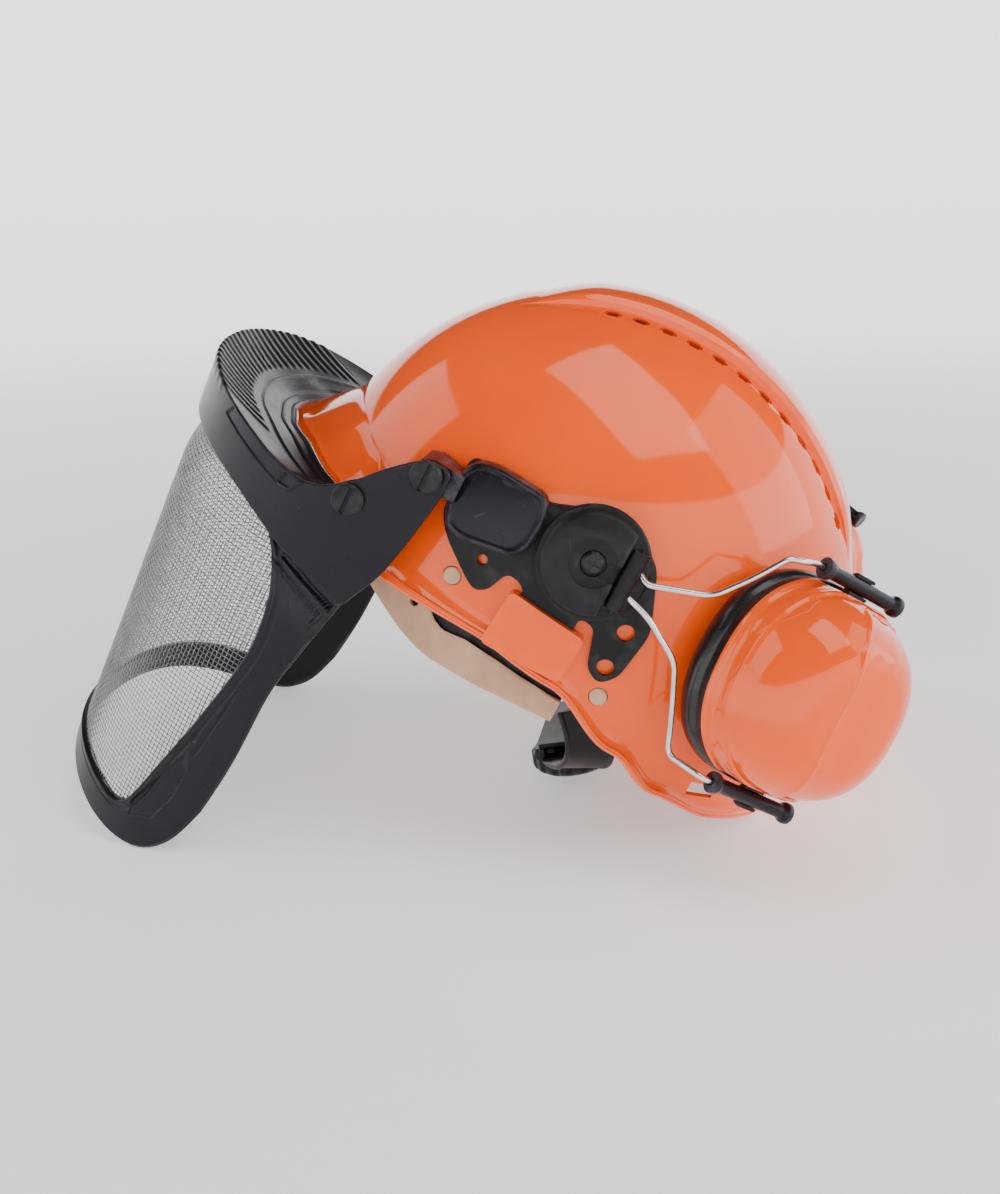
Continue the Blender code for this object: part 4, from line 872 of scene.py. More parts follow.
def outer_column(angle):
    """Points of the shell's outside from the crown to the start of the brim's lip."""
    top = rim_point(angle, 0.0)
    if top.z > SHELL_CENTRE_Z:
        last = math.acos((top.z - SHELL_CENTRE_Z) / SHELL_RISE)
    else:
        last = math.pi / 2 + (SHELL_CENTRE_Z - top.z) / SHELL_RISE
    column = []
    for ring in range(1, DOME_RINGS + 1):
        climb = last * ring / DOME_RINGS
        if climb <= math.pi / 2:
            scale, z = math.sin(climb), SHELL_CENTRE_Z + SHELL_RISE * math.cos(climb)
        else:
            scale, z = 1.0, SHELL_CENTRE_Z - (climb - math.pi / 2) * SHELL_RISE
        x, y = plan_point(angle, scale)
        column.append(Vector((x, y, z)))
    edge = rim_point(angle, 1.0)
    corner, before = column.pop(), column[-1]
    reach = min((edge - corner).length * 0.6, 0.006)
    start = corner + (before - corner).normalized() * min(reach, (before - corner).length * 0.9)
    end = corner + (edge - corner).normalized() * reach
    column += corner_curve(start, corner, end, 6)
    column += [end.lerp(edge, k / BRIM_RINGS) for k in range(1, BRIM_RINGS + 1)]
    return column


def shell_surface():
    """The shell as one closed skin: outside, rolled lip and inside."""
    grid = np.array([[tuple(p) for p in outer_column(math.tau * k / SHELL_COLUMNS)]
                     for k in range(SHELL_COLUMNS)])
    along = np.gradient(grid, axis=1)
    around = np.roll(grid, -1, axis=0) - np.roll(grid, 1, axis=0)
    normal = np.cross(around, along)
    normal /= np.linalg.norm(normal, axis=2, keepdims=True)
    centre = np.array((0.0, SHELL_CENTRE_Y, 0.0))
    if (normal[:, 20] * (grid[:, 20] - centre)).sum() < 0:
        normal = -normal
    inner = grid - normal * SHELL_WALL
    to_edge = np.linalg.norm(grid - grid[:, -1:], axis=2)
    brim = np.linalg.norm(grid[:, -1] - grid[:, -1 - BRIM_RINGS], axis=1)[:, None]
    width = np.minimum(LIP_WIDTH, brim * 0.9)
    t = np.clip(to_edge / width, 0, 1)
    bead = np.where(to_edge < width, np.sin(np.pi * np.clip(t * 0.86 + 0.14, 0, 1)) ** 1.3, 0.0)
    bead *= LIP_HEIGHT * width / LIP_WIDTH
    outer = grid + normal * bead[:, :, None]
    rows = [outer[:, i] for i in range(grid.shape[1])]
    edge, n = outer[:, -1], normal[:, -1]
    out = grid[:, -1] - grid[:, -3]
    out /= np.linalg.norm(out, axis=1, keepdims=True)
    rows += [edge + out * d * 0.0008 + n * h * 0.001 for d, h in LIP_ROUND]
    rows += [inner[:, i] for i in range(grid.shape[1] - 1, -1, -1)]
    count = len(rows)
    verts = [tuple(p) for row in rows for p in row]
    crown = Vector((0, SHELL_CENTRE_Y, SHELL_CENTRE_Z + SHELL_RISE))
    verts += [tuple(crown), tuple(crown - Vector((0, 0, SHELL_WALL)))]
    faces = []
    for i in range(count - 1):
        for k in range(SHELL_COLUMNS):
            n = (k + 1) % SHELL_COLUMNS
            a, b = i * SHELL_COLUMNS, (i + 1) * SHELL_COLUMNS
            faces.append((a + k, a + n, b + n, b + k))
    last = (count - 1) * SHELL_COLUMNS
    for k in range(SHELL_COLUMNS):
        n = (k + 1) % SHELL_COLUMNS
        faces.append((n, k, len(verts) - 2))
        faces.append((last + k, last + n, len(verts) - 1))
    bm = skin(verts, faces)
    bmesh.ops.recalc_face_normals(bm, faces=bm.faces)
    return bm


def ridge_top(x, fade):
    """Height of the raised band over the dome: rounded shoulders and a shallow middle."""
    shoulder = smoothstep(0.0, 0.0022, RIDGE_HALF_WIDTH - abs(x))
    return (RIDGE_RISE * (0.35 + 0.65 * shoulder) * fade) - 0.0006 * (1 - fade)


def build_ridge():
    """The raised band along the crown."""
    rings = []
    first = math.asin((RIDGE_FRONT_Y - SHELL_CENTRE_Y) / SHELL_FRONT)
    last = math.asin((RIDGE_REAR_Y - SHELL_CENTRE_Y) / SHELL_REAR)
    shares = [0.0, 0.012, 0.025, 0.04, 0.06] + [0.1 + 0.8 * k / 22 for k in range(23)]
    shares += [0.94, 0.96, 0.975, 0.988, 1.0]
    for k in range(CROWN_STEPS + 1):
        turn = first + (last - first) * k / CROWN_STEPS
        y = SHELL_CENTRE_Y + (SHELL_FRONT if turn < 0 else SHELL_REAR) * math.sin(turn)
        fade = smoothstep(0, 1, min(1.0, 6 * k / CROWN_STEPS, 7 * (CROWN_STEPS - k) / CROWN_STEPS))
        xs = [RIDGE_HALF_WIDTH * (2 * s - 1) for s in shares]
        top = [Vector((x, y, dome_z(x, y) + ridge_top(x, fade))) for x in xs]
        low = [Vector((x, y, dome_z(x, y) - 0.0019)) for x in reversed(xs)]
        rings.append(top + low)
    return loft(rings)


def groove_cutter():
    """The sunken channel beside the ridge, deepest against it."""
    rings = []
    first = math.asin((GROOVE_FRONT_Y - SHELL_CENTRE_Y) / SHELL_FRONT)
    last = math.asin((GROOVE_REAR_Y - SHELL_CENTRE_Y) / SHELL_REAR)
    for k in range(CROWN_STEPS + 1):
        turn = first + (last - first) * k / CROWN_STEPS
        y = SHELL_CENTRE_Y + (SHELL_FRONT if turn < 0 else SHELL_REAR) * math.sin(turn)
        fade = smoothstep(0, 1, min(1.0, 5 * k / CROWN_STEPS, 6 * (CROWN_STEPS - k) / CROWN_STEPS))
        depth = GROOVE_DEPTH * fade - 0.0004 * (1 - fade)
        near = RIDGE_HALF_WIDTH - 0.00003
        far = near + (GROOVE_OUTER - near) * (0.25 + 0.75 * fade)
        section = ((near, 0.007), (near, -depth), (near + 0.0012, -depth * 1.05),
                   (near + (far - near) * 0.5, -depth * 0.72), (far, 0.00002), (far, 0.007))
        rings.append([Vector((x, y, dome_z(x, y) + lift)) for x, lift in section])
    return loft(rings)


def vent_cutter(k):
    turn = VENT_FIRST + (VENT_LAST - VENT_FIRST) * k / (VENT_COUNT - 1)
    y = SHELL_CENTRE_Y + SHELL_REAR * math.sin(turn)
    step = 0.001
    slope = (dome_z(VENT_X, y + step) - dome_z(VENT_X, y - step)) / (2 * step)
    lean = (dome_z(VENT_X + step, y) - dome_z(VENT_X - step, y)) / (2 * step)
    along = Vector((0, 1, slope)).normalized()
    up = Vector((-lean, -slope, 1)).normalized()
    matrix = frame_matrix(Vector((VENT_X, y, dome_z(VENT_X, y))), along.cross(up), along, up)
    bm = block(VENT_OPENING, (0.0002, 0, 0), matrix)
    upright = [e for e in bm.edges
               if abs((e.verts[0].co - e.verts[1].co).normalized().dot(up)) > 0.9]
    bmesh.ops.bevel(bm, geom=upright, offset=0.0014, segments=4, affect="EDGES")
    return bm


def side_boss():
    return conformed(rounded(BOSS, 0.003), -0.001, 0.003, outer=BOSS_DEPTH)


def side_cutters():
    """Left-hand openings: vents, the rear slot, the pins' holes and the plate's tongue."""
    cutters = [vent_cutter(k) for k in range(VENT_COUNT)]
    cutters.append(block((0.030, 0.012, 0.0060), (0.080, *REAR_SLOT)))
    for y, z in PIN_SPOTS.values():
        cutters.append(cylinder(side_matrix(y, z), PIN_RADIUS + GAP, 0.08, 0.11, 40))
    cutters.append(conformed(TONGUE_SLOT, 0.0, 0.004, outer=PLATE_THICK + 2 * GAP))
    return cutters


def build_shell():
    shell = solid("shell_moulding", shell_surface(), 28)
    carve(shell, merge(build_ridge(), side_boss(), mirrored(side_boss())), "UNION", 28)
    carve(shell, merge(groove_cutter(), mirrored(groove_cutter())), "DIFFERENCE", 28)
    right_hand = [mirrored(bm) for bm in side_cutters()]
    carve(shell, merge(*side_cutters(), *right_hand), "DIFFERENCE", 28)
    return place(shell, ORANGE, "helmet", ["shell"])


# ================================================================ visor
GUARD_STEP = 0.0009                 # spacing of the guard's columns along its wall
GUARD_ROWS = 84
PLATE_SAG = 0.0025                  # how far the guard's top dips between its edges
RIB_PITCH, RIB_HEIGHT, RIB_REACH = 0.0060, 0.0006, 0.078


def guard_table():
    """The guard's lower and upper edges as smooth curves of the travel coordinate."""
    rows = smooth_steps([(travel(y), low, high) for y, low, high in GUARD_STATIONS], 6)
    rows = sorted(rows)
    return [np.array(column) for column in zip(*rows)]


GUARD_ALONG, GUARD_LOW, GUARD_HIGH = guard_table()


def guard_edges(along):
    key = abs(along)
    return (float(np.interp(key, GUARD_ALONG, GUARD_LOW)),
            float(np.interp(key, GUARD_ALONG, GUARD_HIGH)))


def wall_lengths(limit, z, count):
    """Travel coordinates from -limit to limit and the wall's length up to each of them."""
    fine = np.linspace(-limit, limit, count)
    points = np.array([tuple(visor_point(a, z)) for a in fine])
    steps = np.linalg.norm(np.diff(points, axis=0), axis=1)
    return fine, np.concatenate(([0], np.cumsum(steps)))


def even_stops(limit, step):
    """Travel coordinates from +limit to -limit, evenly spaced along the wall."""
    fine, length = wall_lengths(limit, 0.03, 4001)
    count = int(length[-1] / step)
    return np.interp(np.linspace(length[-1], 0, count + 1), length, fine)


def guard_relief(y, z):
    """Raised and sunken lines on the guard's wall, as height outwards."""
    height = 0.0
    for line, width, depth in GUARD_LINES:
        height += depth * (1 - smoothstep(width * 0.35, width, line_distance((y, z), line)))
    return height


def build_guard():
    rings = []
    limit = float(GUARD_ALONG[-1])
    for along in even_stops(limit, GUARD_STEP):
        low, high = guard_edges(along)
        round_off = min(0.0009, (high - low) * 0.2)
        section = []
        for k in range(5):                    # lower edge, rounded
            a = math.pi / 2 * (1 - k / 4)
            section.append(visor_point(along, low + round_off * (1 - math.cos(math.pi / 2 - a)),
                                       round_off * (1 - math.sin(math.pi / 2 - a))))
        for k in range(1, GUARD_ROWS):
            z = low + round_off + (high - low - 2 * round_off) * k / GUARD_ROWS
            p = visor_point(along, z)
            lift = guard_relief(p.y, z)
            notch = rib_height(p.x) * smoothstep(high - 0.006, high - 0.001, z)
            section.append(visor_point(along, z, -lift - notch * 0.6))
        rim_z = high - round_off
        for k in range(5):                    # upper edge, rounded
            a = math.pi / 2 * k / 4
            lift = rib_height(visor_point(along, rim_z).x)
            section.append(visor_point(along, rim_z + round_off * math.sin(a) + lift * 0.8 * math.sin(a),
                                       round_off * (1 - math.cos(a)) - lift * 0.6 * math.cos(a)))
        section += plate_section(along, high)
        for k in range(12, -1, -1):
            z = low + (rim_z - 0.0016 - low) * k / 12
            section.append(visor_point(along, max(z, low + 0.0003), GUARD_WALL))
        rings.append(section)
    guard = solid("guard_moulding", section_loft(rings), 30)
    for hand in (1, -1):
        boss = cylinder(side_matrix(BROW_SCREW.y, BROW_SCREW.z), 0.0062,
                        BROW_SCREW.x - 0.0072, BROW_SCREW.x - 0.0008, 40)
        holes = merge(cylinder(side_matrix(PIVOT.y, PIVOT.z), SCREW_SHANK + GAP, 0.098, 0.112, 32),
                      cylinder(side_matrix(BROW_SCREW.y, BROW_SCREW.z), SCREW_SHANK + GAP,
                               BROW_SCREW.x - 0.0052, 0.112, 32))
        if hand < 0:
            mirrored(boss)
            mirrored(holes)
        carve(guard, boss, "UNION", 30)
        carve(guard, holes, "DIFFERENCE", 30)
    return place(guard, SATIN, "visor", ["brow_guard"])


def rib_height(x):
    """Fore-and-aft ribs across the brow."""
    fade = smoothstep(0, 0.004, RIB_REACH - abs(x))
    wave = 0.5 + 0.5 * math.cos(math.tau * x / RIB_PITCH)
    return RIB_HEIGHT * fade * smoothstep(0.25, 0.75, wave)


def plate_section(along, high):
    """The sloping top, from the rim in to the peak and back under; it ends beside the peak."""
    share = 1 - smoothstep(0.78, 0.84, abs(along))
    rim = visor_point(along, high, 0.0011)
    outer = visor_point(along, high - 0.0002, 0.0013)
    heading = math.atan2(abs(outer.x), -(outer.y - SHELL_CENTRE_Y))
    edge = peak_edge(min(heading, 1.35))
    edge.x = math.copysign(edge.x, outer.x)
    away = Vector((outer.x - edge.x, outer.y - edge.y, 0))
    inner = Vector((edge.x, edge.y, edge.z - 0.001)) + away.normalized() * PEAK_CLEARANCE
    inner = outer.lerp(inner, share)
    wall = visor_point(along, high - 0.0016, GUARD_WALL)
    top, under = [], []
    count = 56
    for k in range(1, count + 1):
        t = k / count
        p = outer.lerp(inner, t) - Vector((0, 0, PLATE_SAG * 4 * t * (1 - t) * share))
        ribbed = rib_height(p.x) * (1 - smoothstep(0.44, 0.48, t)) * share
        lip = 0.0008 * smoothstep(0.93, 0.96, t) * share
        lip += 0.0007 * (1 - smoothstep(0.004, 0.022, abs(t - 0.585))) * share
        lip -= 0.0008 * (1 - smoothstep(0.006, 0.026, abs(t - 0.82))) * share
        if t > 0.97:
            lip -= 0.0004 * share
        top.append(p + Vector((0, 0, ribbed + lip)))
        flat = outer.lerp(inner, t) - Vector((0, 0, PLATE_SAG * 4 * t * (1 - t) * share
                                              + GUARD_PLATE_THICK))
        under.append(wall.lerp(flat, min(1.0, share * 4)) if share < 1 else flat)
    if share <= 0:
        step = (wall - rim) / (2 * count + 1)
        return [rim + step * k for k in range(1, 2 * count + 1)]
    return top + list(reversed(under))


FRAME_ROWS = 60


def frame_relief(y, z, to_opening, to_edge):
    """Raised lip round the opening, rounded edges and the sunken panel at the jaw."""
    height = 0.0009 * (smoothstep(0.0, 0.0008, to_opening)
                       - smoothstep(0.0024, 0.0034, to_opening))
    height -= 0.0004 * (smoothstep(0.0034, 0.0040, to_opening)
                        - smoothstep(0.0044, 0.0052, to_opening))
    height -= 0.0010 * (1 - smoothstep(0.0, 0.0012, to_edge))
    height -= 0.0008 * (1 - smoothstep(0.0, 0.0009, to_opening))
    for line, line_width, depth in FRAME_LINES:
        height += depth * (1 - smoothstep(line_width * 0.4, line_width, line_distance((y, z), line)))
    for outline, depth in FRAME_PANELS:
        if inside((y, z), outline):
            height += depth * smoothstep(0.0, 0.0007,
                                         line_distance((y, z), list(outline) + [outline[0]]))
    return height


def build_frame():
    rings = []
    for a, b, c, d in frame_loops(14):
        outside, back = [], []
        corners = [visor_point(a, b), visor_point(c, d)]
        width = (corners[0] - corners[1]).length
        for k in range(FRAME_ROWS + 1):
            share = k / FRAME_ROWS
            share = share * 0.8 + 0.2 * (0.5 - 0.5 * math.cos(math.pi * share))
            along, z = a + (c - a) * share, b + (d - b) * share
            p = visor_point(along, z)
            lift = frame_relief(p.y, z, (1 - share) * width, share * width)
            outside.append(visor_point(along, z, frame_inset(along, z) - lift))
            if k % 6 == 0:
                back.append(visor_point(along, z, frame_inset(along, z) + FRAME_THICK))
        rings.append(outside + list(reversed(back)))
    return piece("visor_frame_moulding", section_loft(rings, True), SATIN, "visor",
                 ["visor_frame"])


SCREEN_PITCH, SCREEN_WIRE = 0.0021, 0.00023


def screen_outline():
    """The opening's edge in the screen's own flat coordinates, a little under the frame."""
    fine, length = wall_lengths(1.0, -0.07, 2001)
    length -= length[len(length) // 2]
    loop = [(float(np.interp(c, fine, length)), d) for _, _, c, d in frame_loops(6)]
    centre = Vector((0.0, sum(p[1] for p in loop) / len(loop)))
    grown = []
    for s, z in loop:
        away = Vector((s, z)) - centre
        grown.append(tuple(centre + away * (1 + 0.0016 / away.length)))
    return grown, fine, length


def spans(outline, level, axis):
    """Where a straight line at a level of one coordinate lies inside the outline."""
    hits = []
    for p, q in zip(outline, outline[1:] + [outline[0]]):
        if (p[axis] > level) != (q[axis] > level):
            t = (level - p[axis]) / (q[axis] - p[axis])
            hits.append(p[1 - axis] + (q[1 - axis] - p[1 - axis]) * t)
    hits.sort()
    return list(zip(hits[::2], hits[1::2]))


def build_screen():
    """The woven screen: every wire is a square tube that passes over and under the others."""
    outline, fine, length = screen_outline()
    verts, faces = [], []
    for axis in (0, 1):
        low, high = min(p[axis] for p in outline), max(p[axis] for p in outline)
        first = math.ceil(low / SCREEN_PITCH)
        last = math.floor(high / SCREEN_PITCH)
        for line in range(first, last + 1):
            for start, end in spans(outline, line * SCREEN_PITCH, axis):
                knots = [start] + [k * SCREEN_PITCH for k in range(
                    math.ceil(start / SCREEN_PITCH + 0.2), math.floor(end / SCREEN_PITCH - 0.2) + 1)]
                knots.append(end)
                path = []
                for knot in knots:
                    cross = round(knot / SCREEN_PITCH)
                    side = 1 if (cross + line + axis) % 2 == 0 else -1
                    s, z = ((line * SCREEN_PITCH, knot) if axis == 0
                            else (knot, line * SCREEN_PITCH))
                    along = float(np.interp(s, length, fine))
                    inset = frame_inset(along, z) + MESH_SINK + MESH_THICK / 2
                    path.append(visor_point(along, z, inset + side * SCREEN_WIRE * 0.9))
                add_tube(verts, faces, path, SCREEN_WIRE)
    return piece("woven_screen", skin(verts, faces), MESH_STEEL, "visor",
                 ["visor_mesh"], sharp=80)


def add_tube(verts, faces, path, radius):
    """A closed four-sided tube through points, added to lists of vertices and faces."""
    if len(path) < 2:
        return
    base = len(verts)
    for i, p in enumerate(path):
        ahead = (path[min(i + 1, len(path) - 1)] - path[max(i - 1, 0)]).normalized()
        out = Vector((p.x / VISOR_HALF_WIDTH, (p.y - VISOR_BACK_Y) / VISOR_DEPTH_TOP, 0))
        side = ahead.cross(out).normalized()
        out = side.cross(ahead)
        for u, v in ((1, 0), (0, 1), (-1, 0), (0, -1)):
            verts.append(tuple(p + (side * u + out * v) * radius))
    for i in range(len(path) - 1):
        for j in range(4):
            k = (j + 1) % 4
            a, b = base + i * 4, base + i * 4 + 4
            faces.append((a + j, a + k, b + k, b + j))
    faces.append((base + 3, base + 2, base + 1, base))
    end = base + 4 * (len(path) - 1)
    faces.append((end, end + 1, end + 2, end + 3))


# ================================================================ side carrier
def build_carrier(side, hand):
    body = conformed(rounded(PLATE_OUTLINE, 0.0045), GAP, 0.0035, outer=GAP + PLATE_THICK)
    plate = solid("carrier_plate_" + side, body, 30)
    holes = [cylinder(side_matrix(y, z), r, 0.08, 0.115, 40) for y, z, r in PLATE_HOLES]
    holes.append(cylinder(hub_matrix(), SCREW_SHANK + GAP, -0.010, 0.010, 32))
    carve(plate, merge(*holes), "DIFFERENCE", 30)
    soften(plate, 0.00045)
    place(plate, BLACK, "helmet", ["side_plate_" + side], hand)

    base = PLATE_THICK + 3 * GAP
    top = base + BRACKET_THICK
    bracket = solid("bracket_cover_" + side, cover_body(base, top), 40)
    arm_top = PIVOT.x - GUARD_WALL / 2 - 0.0012
    arm = conformed(((-0.0415, 0.0490), (-0.0415, 0.0600), (-0.0550, 0.0610), (-0.0600, 0.0590),
                     (-0.0615, 0.0545), (-0.0600, 0.0500), (-0.0550, 0.0480)),
                    base, 0.01, face_x=arm_top)
    carve(bracket, arm, "UNION", 40)
    carve(bracket, cylinder(side_matrix(PIVOT.y, PIVOT.z), SCREW_SHANK + GAP, 0.090, 0.115, 32),
          "DIFFERENCE", 40)
    place(bracket, SATIN, "helmet", ["visor_bracket_" + side], hand)


def cover_body(base, top):
    """The slot's cover: a pillow with a thin raised rim round a shallow recess."""
    outline = rounded(BRACKET_OUTLINE, 0.0045, 8)
    rows = [(0.0, base), (0.0, top - 0.0016), (0.0003, top - 0.0008), (0.0008, top - 0.0003),
            (0.0014, top), (0.0020, top), (0.0024, top - 0.0004), (0.0028, top - 0.0007)]
    rings = []
    for inset, level in rows:
        rings.append([Vector((side_x(y, z) + level, y, z)) for y, z in shrunk(outline, inset)])
    centre = middle_of(outline)

    def nested(share, level, source):
        ring = []
        for p in source:
            q = centre + (Vector(p) - centre) * share
            ring.append(Vector((side_x(q.x, q.y) + level, q.x, q.y)))
        return ring

    core = shrunk(outline, 0.0028)
    under = [nested(k / 8, base, outline) for k in range(1, 8)]
    over = [nested(1 - k / 10, top - 0.0007, core) for k in range(1, 10)]
    return loft(under + rings + over)


def middle_of(outline):
    return sum((Vector(p) for p in outline), Vector((0, 0))) / len(outline)


def shrunk(outline, amount):
    """A closed outline moved inwards by an amount."""
    centre = middle_of(outline)
    out = []
    for p in outline:
        away = Vector(p) - centre
        out.append(tuple(centre + away * (1 - amount / away.length)))
    return out


# ================================================================ ear muffs
def build_hub(side, hand):
    hub = hub_matrix()
    profile = ((HUB_RADIUS - 0.0006, 0.0), (HUB_RADIUS, 0.0006), (HUB_RADIUS, HUB_BASE - 0.0009),
               (HUB_RADIUS - 0.0009, HUB_BASE))
    disc = solid("hub_" + side, turned(profile, hub, 128), 25)
    face = turned(((HUB_RADIUS - 0.0026, HUB_BASE - 0.001), (HUB_RADIUS - 0.0026, HUB_FACE - 0.0016),
                   (HUB_RADIUS - 0.0040, HUB_FACE - 0.0003), (HUB_RADIUS - 0.0046, HUB_FACE)),
                  hub, 128)
    carve(disc, face, "UNION", 25)
    notch = block((0.030, 0.060, 0.010), (HUB_CHORD + 0.015, 0, HUB_BASE + 0.0003 + 0.005), hub)
    carve(disc, notch, "DIFFERENCE", 25)
    step = turned(((0.0096, HUB_FACE - 0.0012), (0.0096, HUB_FACE + 0.002)), hub, 96)
    carve(disc, step, "DIFFERENCE", 25)
    bore = turned(((SCREW_SHANK + GAP, -0.002), (SCREW_SHANK + GAP, HUB_FACE - 0.0035),
                   (0.0052, HUB_FACE - 0.0035), (0.0052, HUB_FACE + 0.002)), hub, 64)
    carve(disc, bore, "DIFFERENCE", 25)
    channel = block((0.016, 0.0075, 0.0060), (HUB_CHORD + 0.002, 0, HUB_FACE), hub)
    carve(disc, channel, "DIFFERENCE", 25)
    soften(disc, 0.0003, angle=40)
    place(disc, BLACK, "hub_" + side, ["muff_hub_" + side], hand)


def bent(points, radius):
    """A path of straight runs with its corners bent to about a radius."""
    points = [Vector(p) for p in points]
    out = [points[0]]
    for before, p, after in zip(points, points[1:], points[2:]):
        a, b = corner_ends(before, p, after, radius)
        out += corner_curve(a, p, b, 8)
    return out + [points[-1]]


def build_yoke(side, hand):
    hub = hub_matrix()
    cup = cup_matrix()
    barrel_line = [hub @ Vector((HOLDER_REACH, v * HOLDER_HALF_LENGTH, HOLDER_HEIGHT))
                   for v in (-1, -0.94, 0.94, 1)]
    barrel = solid("hinge_barrel_" + side, bar(barrel_line, HOLDER_RADIUS, 48), 30)
    pin_line = [hub @ Vector((HOLDER_REACH, v * HINGE_PIN_HALF_LENGTH, HOLDER_HEIGHT))
                for v in (-1, 1)]
    carve(barrel, bar(pin_line, HINGE_PIN_RADIUS + GAP, 24), "DIFFERENCE", 30)
    for name, shape, v in (("upper", UPPER_WIRE, 0.0052), ("lower", LOWER_WIRE, -0.0052)):
        start = hub @ Vector((HOLDER_REACH + WIRE_SEAT, v, HOLDER_HEIGHT))
        rod_v = ROD_OFFSET if name == "upper" else -ROD_OFFSET
        front = cup @ Vector((-ROD_HALF_LENGTH - 0.0040, rod_v, 0))
        within = cup @ Vector((-ROD_HALF_LENGTH + 0.0120, rod_v, 0))
        path = bent([start, *shape, front, within], 0.0045)
        piece(f"arm_wire_{name}_{side}", bar(path, DRAWN_WIRE, 20), WIRE_STEEL,
              "yoke_" + side, [f"yoke_wire_{name}_{side}"], hand, 40)
        heading = (path[1] - start).normalized()
        bore = bar([start - WIRE_SEAT * heading, start + 0.006 * heading], DRAWN_WIRE + GAP, 24)
        carve(barrel, bore, "DIFFERENCE", 30)
        build_sleeve(name, side, hand, rod_matrix(cup, rod_v))
        build_clip(name, side, hand, cup, rod_v)
    soften(barrel, 0.0003)
    place(barrel, BLACK, "yoke_" + side, ["wire_holder_" + side], hand)


def build_sleeve(name, side, hand, matrix):
    """The flared sleeve that takes the wire's end and guides the cup's clip."""
    end = ROD_HALF_LENGTH
    profile = [(ROD_FLARE - 0.0005, -end), (ROD_FLARE, -end + 0.0004), (ROD_FLARE, -end + 0.0020)]
    for k in range(1, 9):
        t = smoothstep(0, 1, k / 8)
        profile.append((ROD_FLARE + (ROD_RADIUS - ROD_FLARE) * t, -end + 0.0020 + 0.0032 * k / 8))
    profile += [(r, -h) for r, h in reversed(profile)]
    sleeve = solid(f"guide_sleeve_{name}_{side}", turned(profile, matrix, 56), 30)
    carve(sleeve, cylinder(matrix, DRAWN_WIRE + GAP, -end - 0.002, -end + 0.0125, 28),
          "DIFFERENCE", 30)
    place(sleeve, SATIN, "yoke_" + side, [f"guide_rod_{name}_{side}"], hand)


def build_clip(name, side, hand, cup, rod_v):
    rod = rod_matrix(cup, rod_v)
    profile = ((SLIDER_RADIUS - 0.0006, -0.0050), (SLIDER_RADIUS, -0.0044),
               (SLIDER_RADIUS, 0.0044), (SLIDER_RADIUS - 0.0006, 0.0050))
    clip = solid(f"cup_clip_{name}_{side}", turned(profile, rod, 56), 30)
    pin = pin_matrix(cup, -1 if rod_v > 0 else 1)
    carve(clip, cylinder(pin, PIN_SIZE, 0.0040, SLIDER_RADIUS + 0.0040, 32), "UNION", 30)
    carve(clip, cylinder(rod, ROD_RADIUS + GAP, -0.010, 0.010, 48), "DIFFERENCE", 30)
    opening = block((0.0120, 0.0130, 0.0100), (0, rod_v, 0.0058), cup)
    carve(clip, opening, "DIFFERENCE", 30)
    place(clip, BLACK, "slider_" + side, [f"cup_slider_{name}_{side}"], hand)


CUP_COUNT = 176


def dome_profile(inset, steps):
    """(scale, margin, level) rings of the cup's dome, from its rim in to its middle."""
    height = CUP_TOP - CUP_SHOULDER
    last = math.radians(76)
    rows = []
    for k in range(steps + 1):
        a = last * k / steps
        level = CUP_SHOULDER + (height - inset) * math.sin(a) / math.sin(last)
        margin = CUP_SET_IN + inset + CUP_CROWN * (1 - math.cos(a))
        margin += 0.0010 * smoothstep(0.0058, 0.0070, level)
        rows.append((1.0, margin, level))
    _, margin, level = rows[-1]
    for k in range(1, 15):
        f = 1 - k / 15
        rows.append((f, margin, level + 0.0016 * (1 - f * f)))
    return rows


def cup_loop(matrix, scale, margin, level):
    ring = []
    e = 2 / CUP_POWER
    for k in range(CUP_COUNT):
        a = math.tau * k / CUP_COUNT
        c, s = math.cos(a), math.sin(a)
        u = (CUP_HALF_LENGTH - margin) * scale * signed_power(c, e)
        v = (CUP_HALF_HEIGHT - margin) * scale * signed_power(s, e)
        ring.append(matrix @ Vector((u, v, level)))
    return ring


def cup_relief(u, v):
    """The facet that crosses the cup's dome and the crease lines that bound it."""
    height = 0.0
    for line, width, depth in CUP_LINES:
        height += depth * (1 - smoothstep(0.0, width, line_distance((u, v), line)))
    if inside((u, v), CUP_FACET):
        edge = line_distance((u, v), CUP_FACET[:CUP_FACET_OPEN])
        height -= 0.0009 * smoothstep(0.0, 0.0100, edge)
    return height


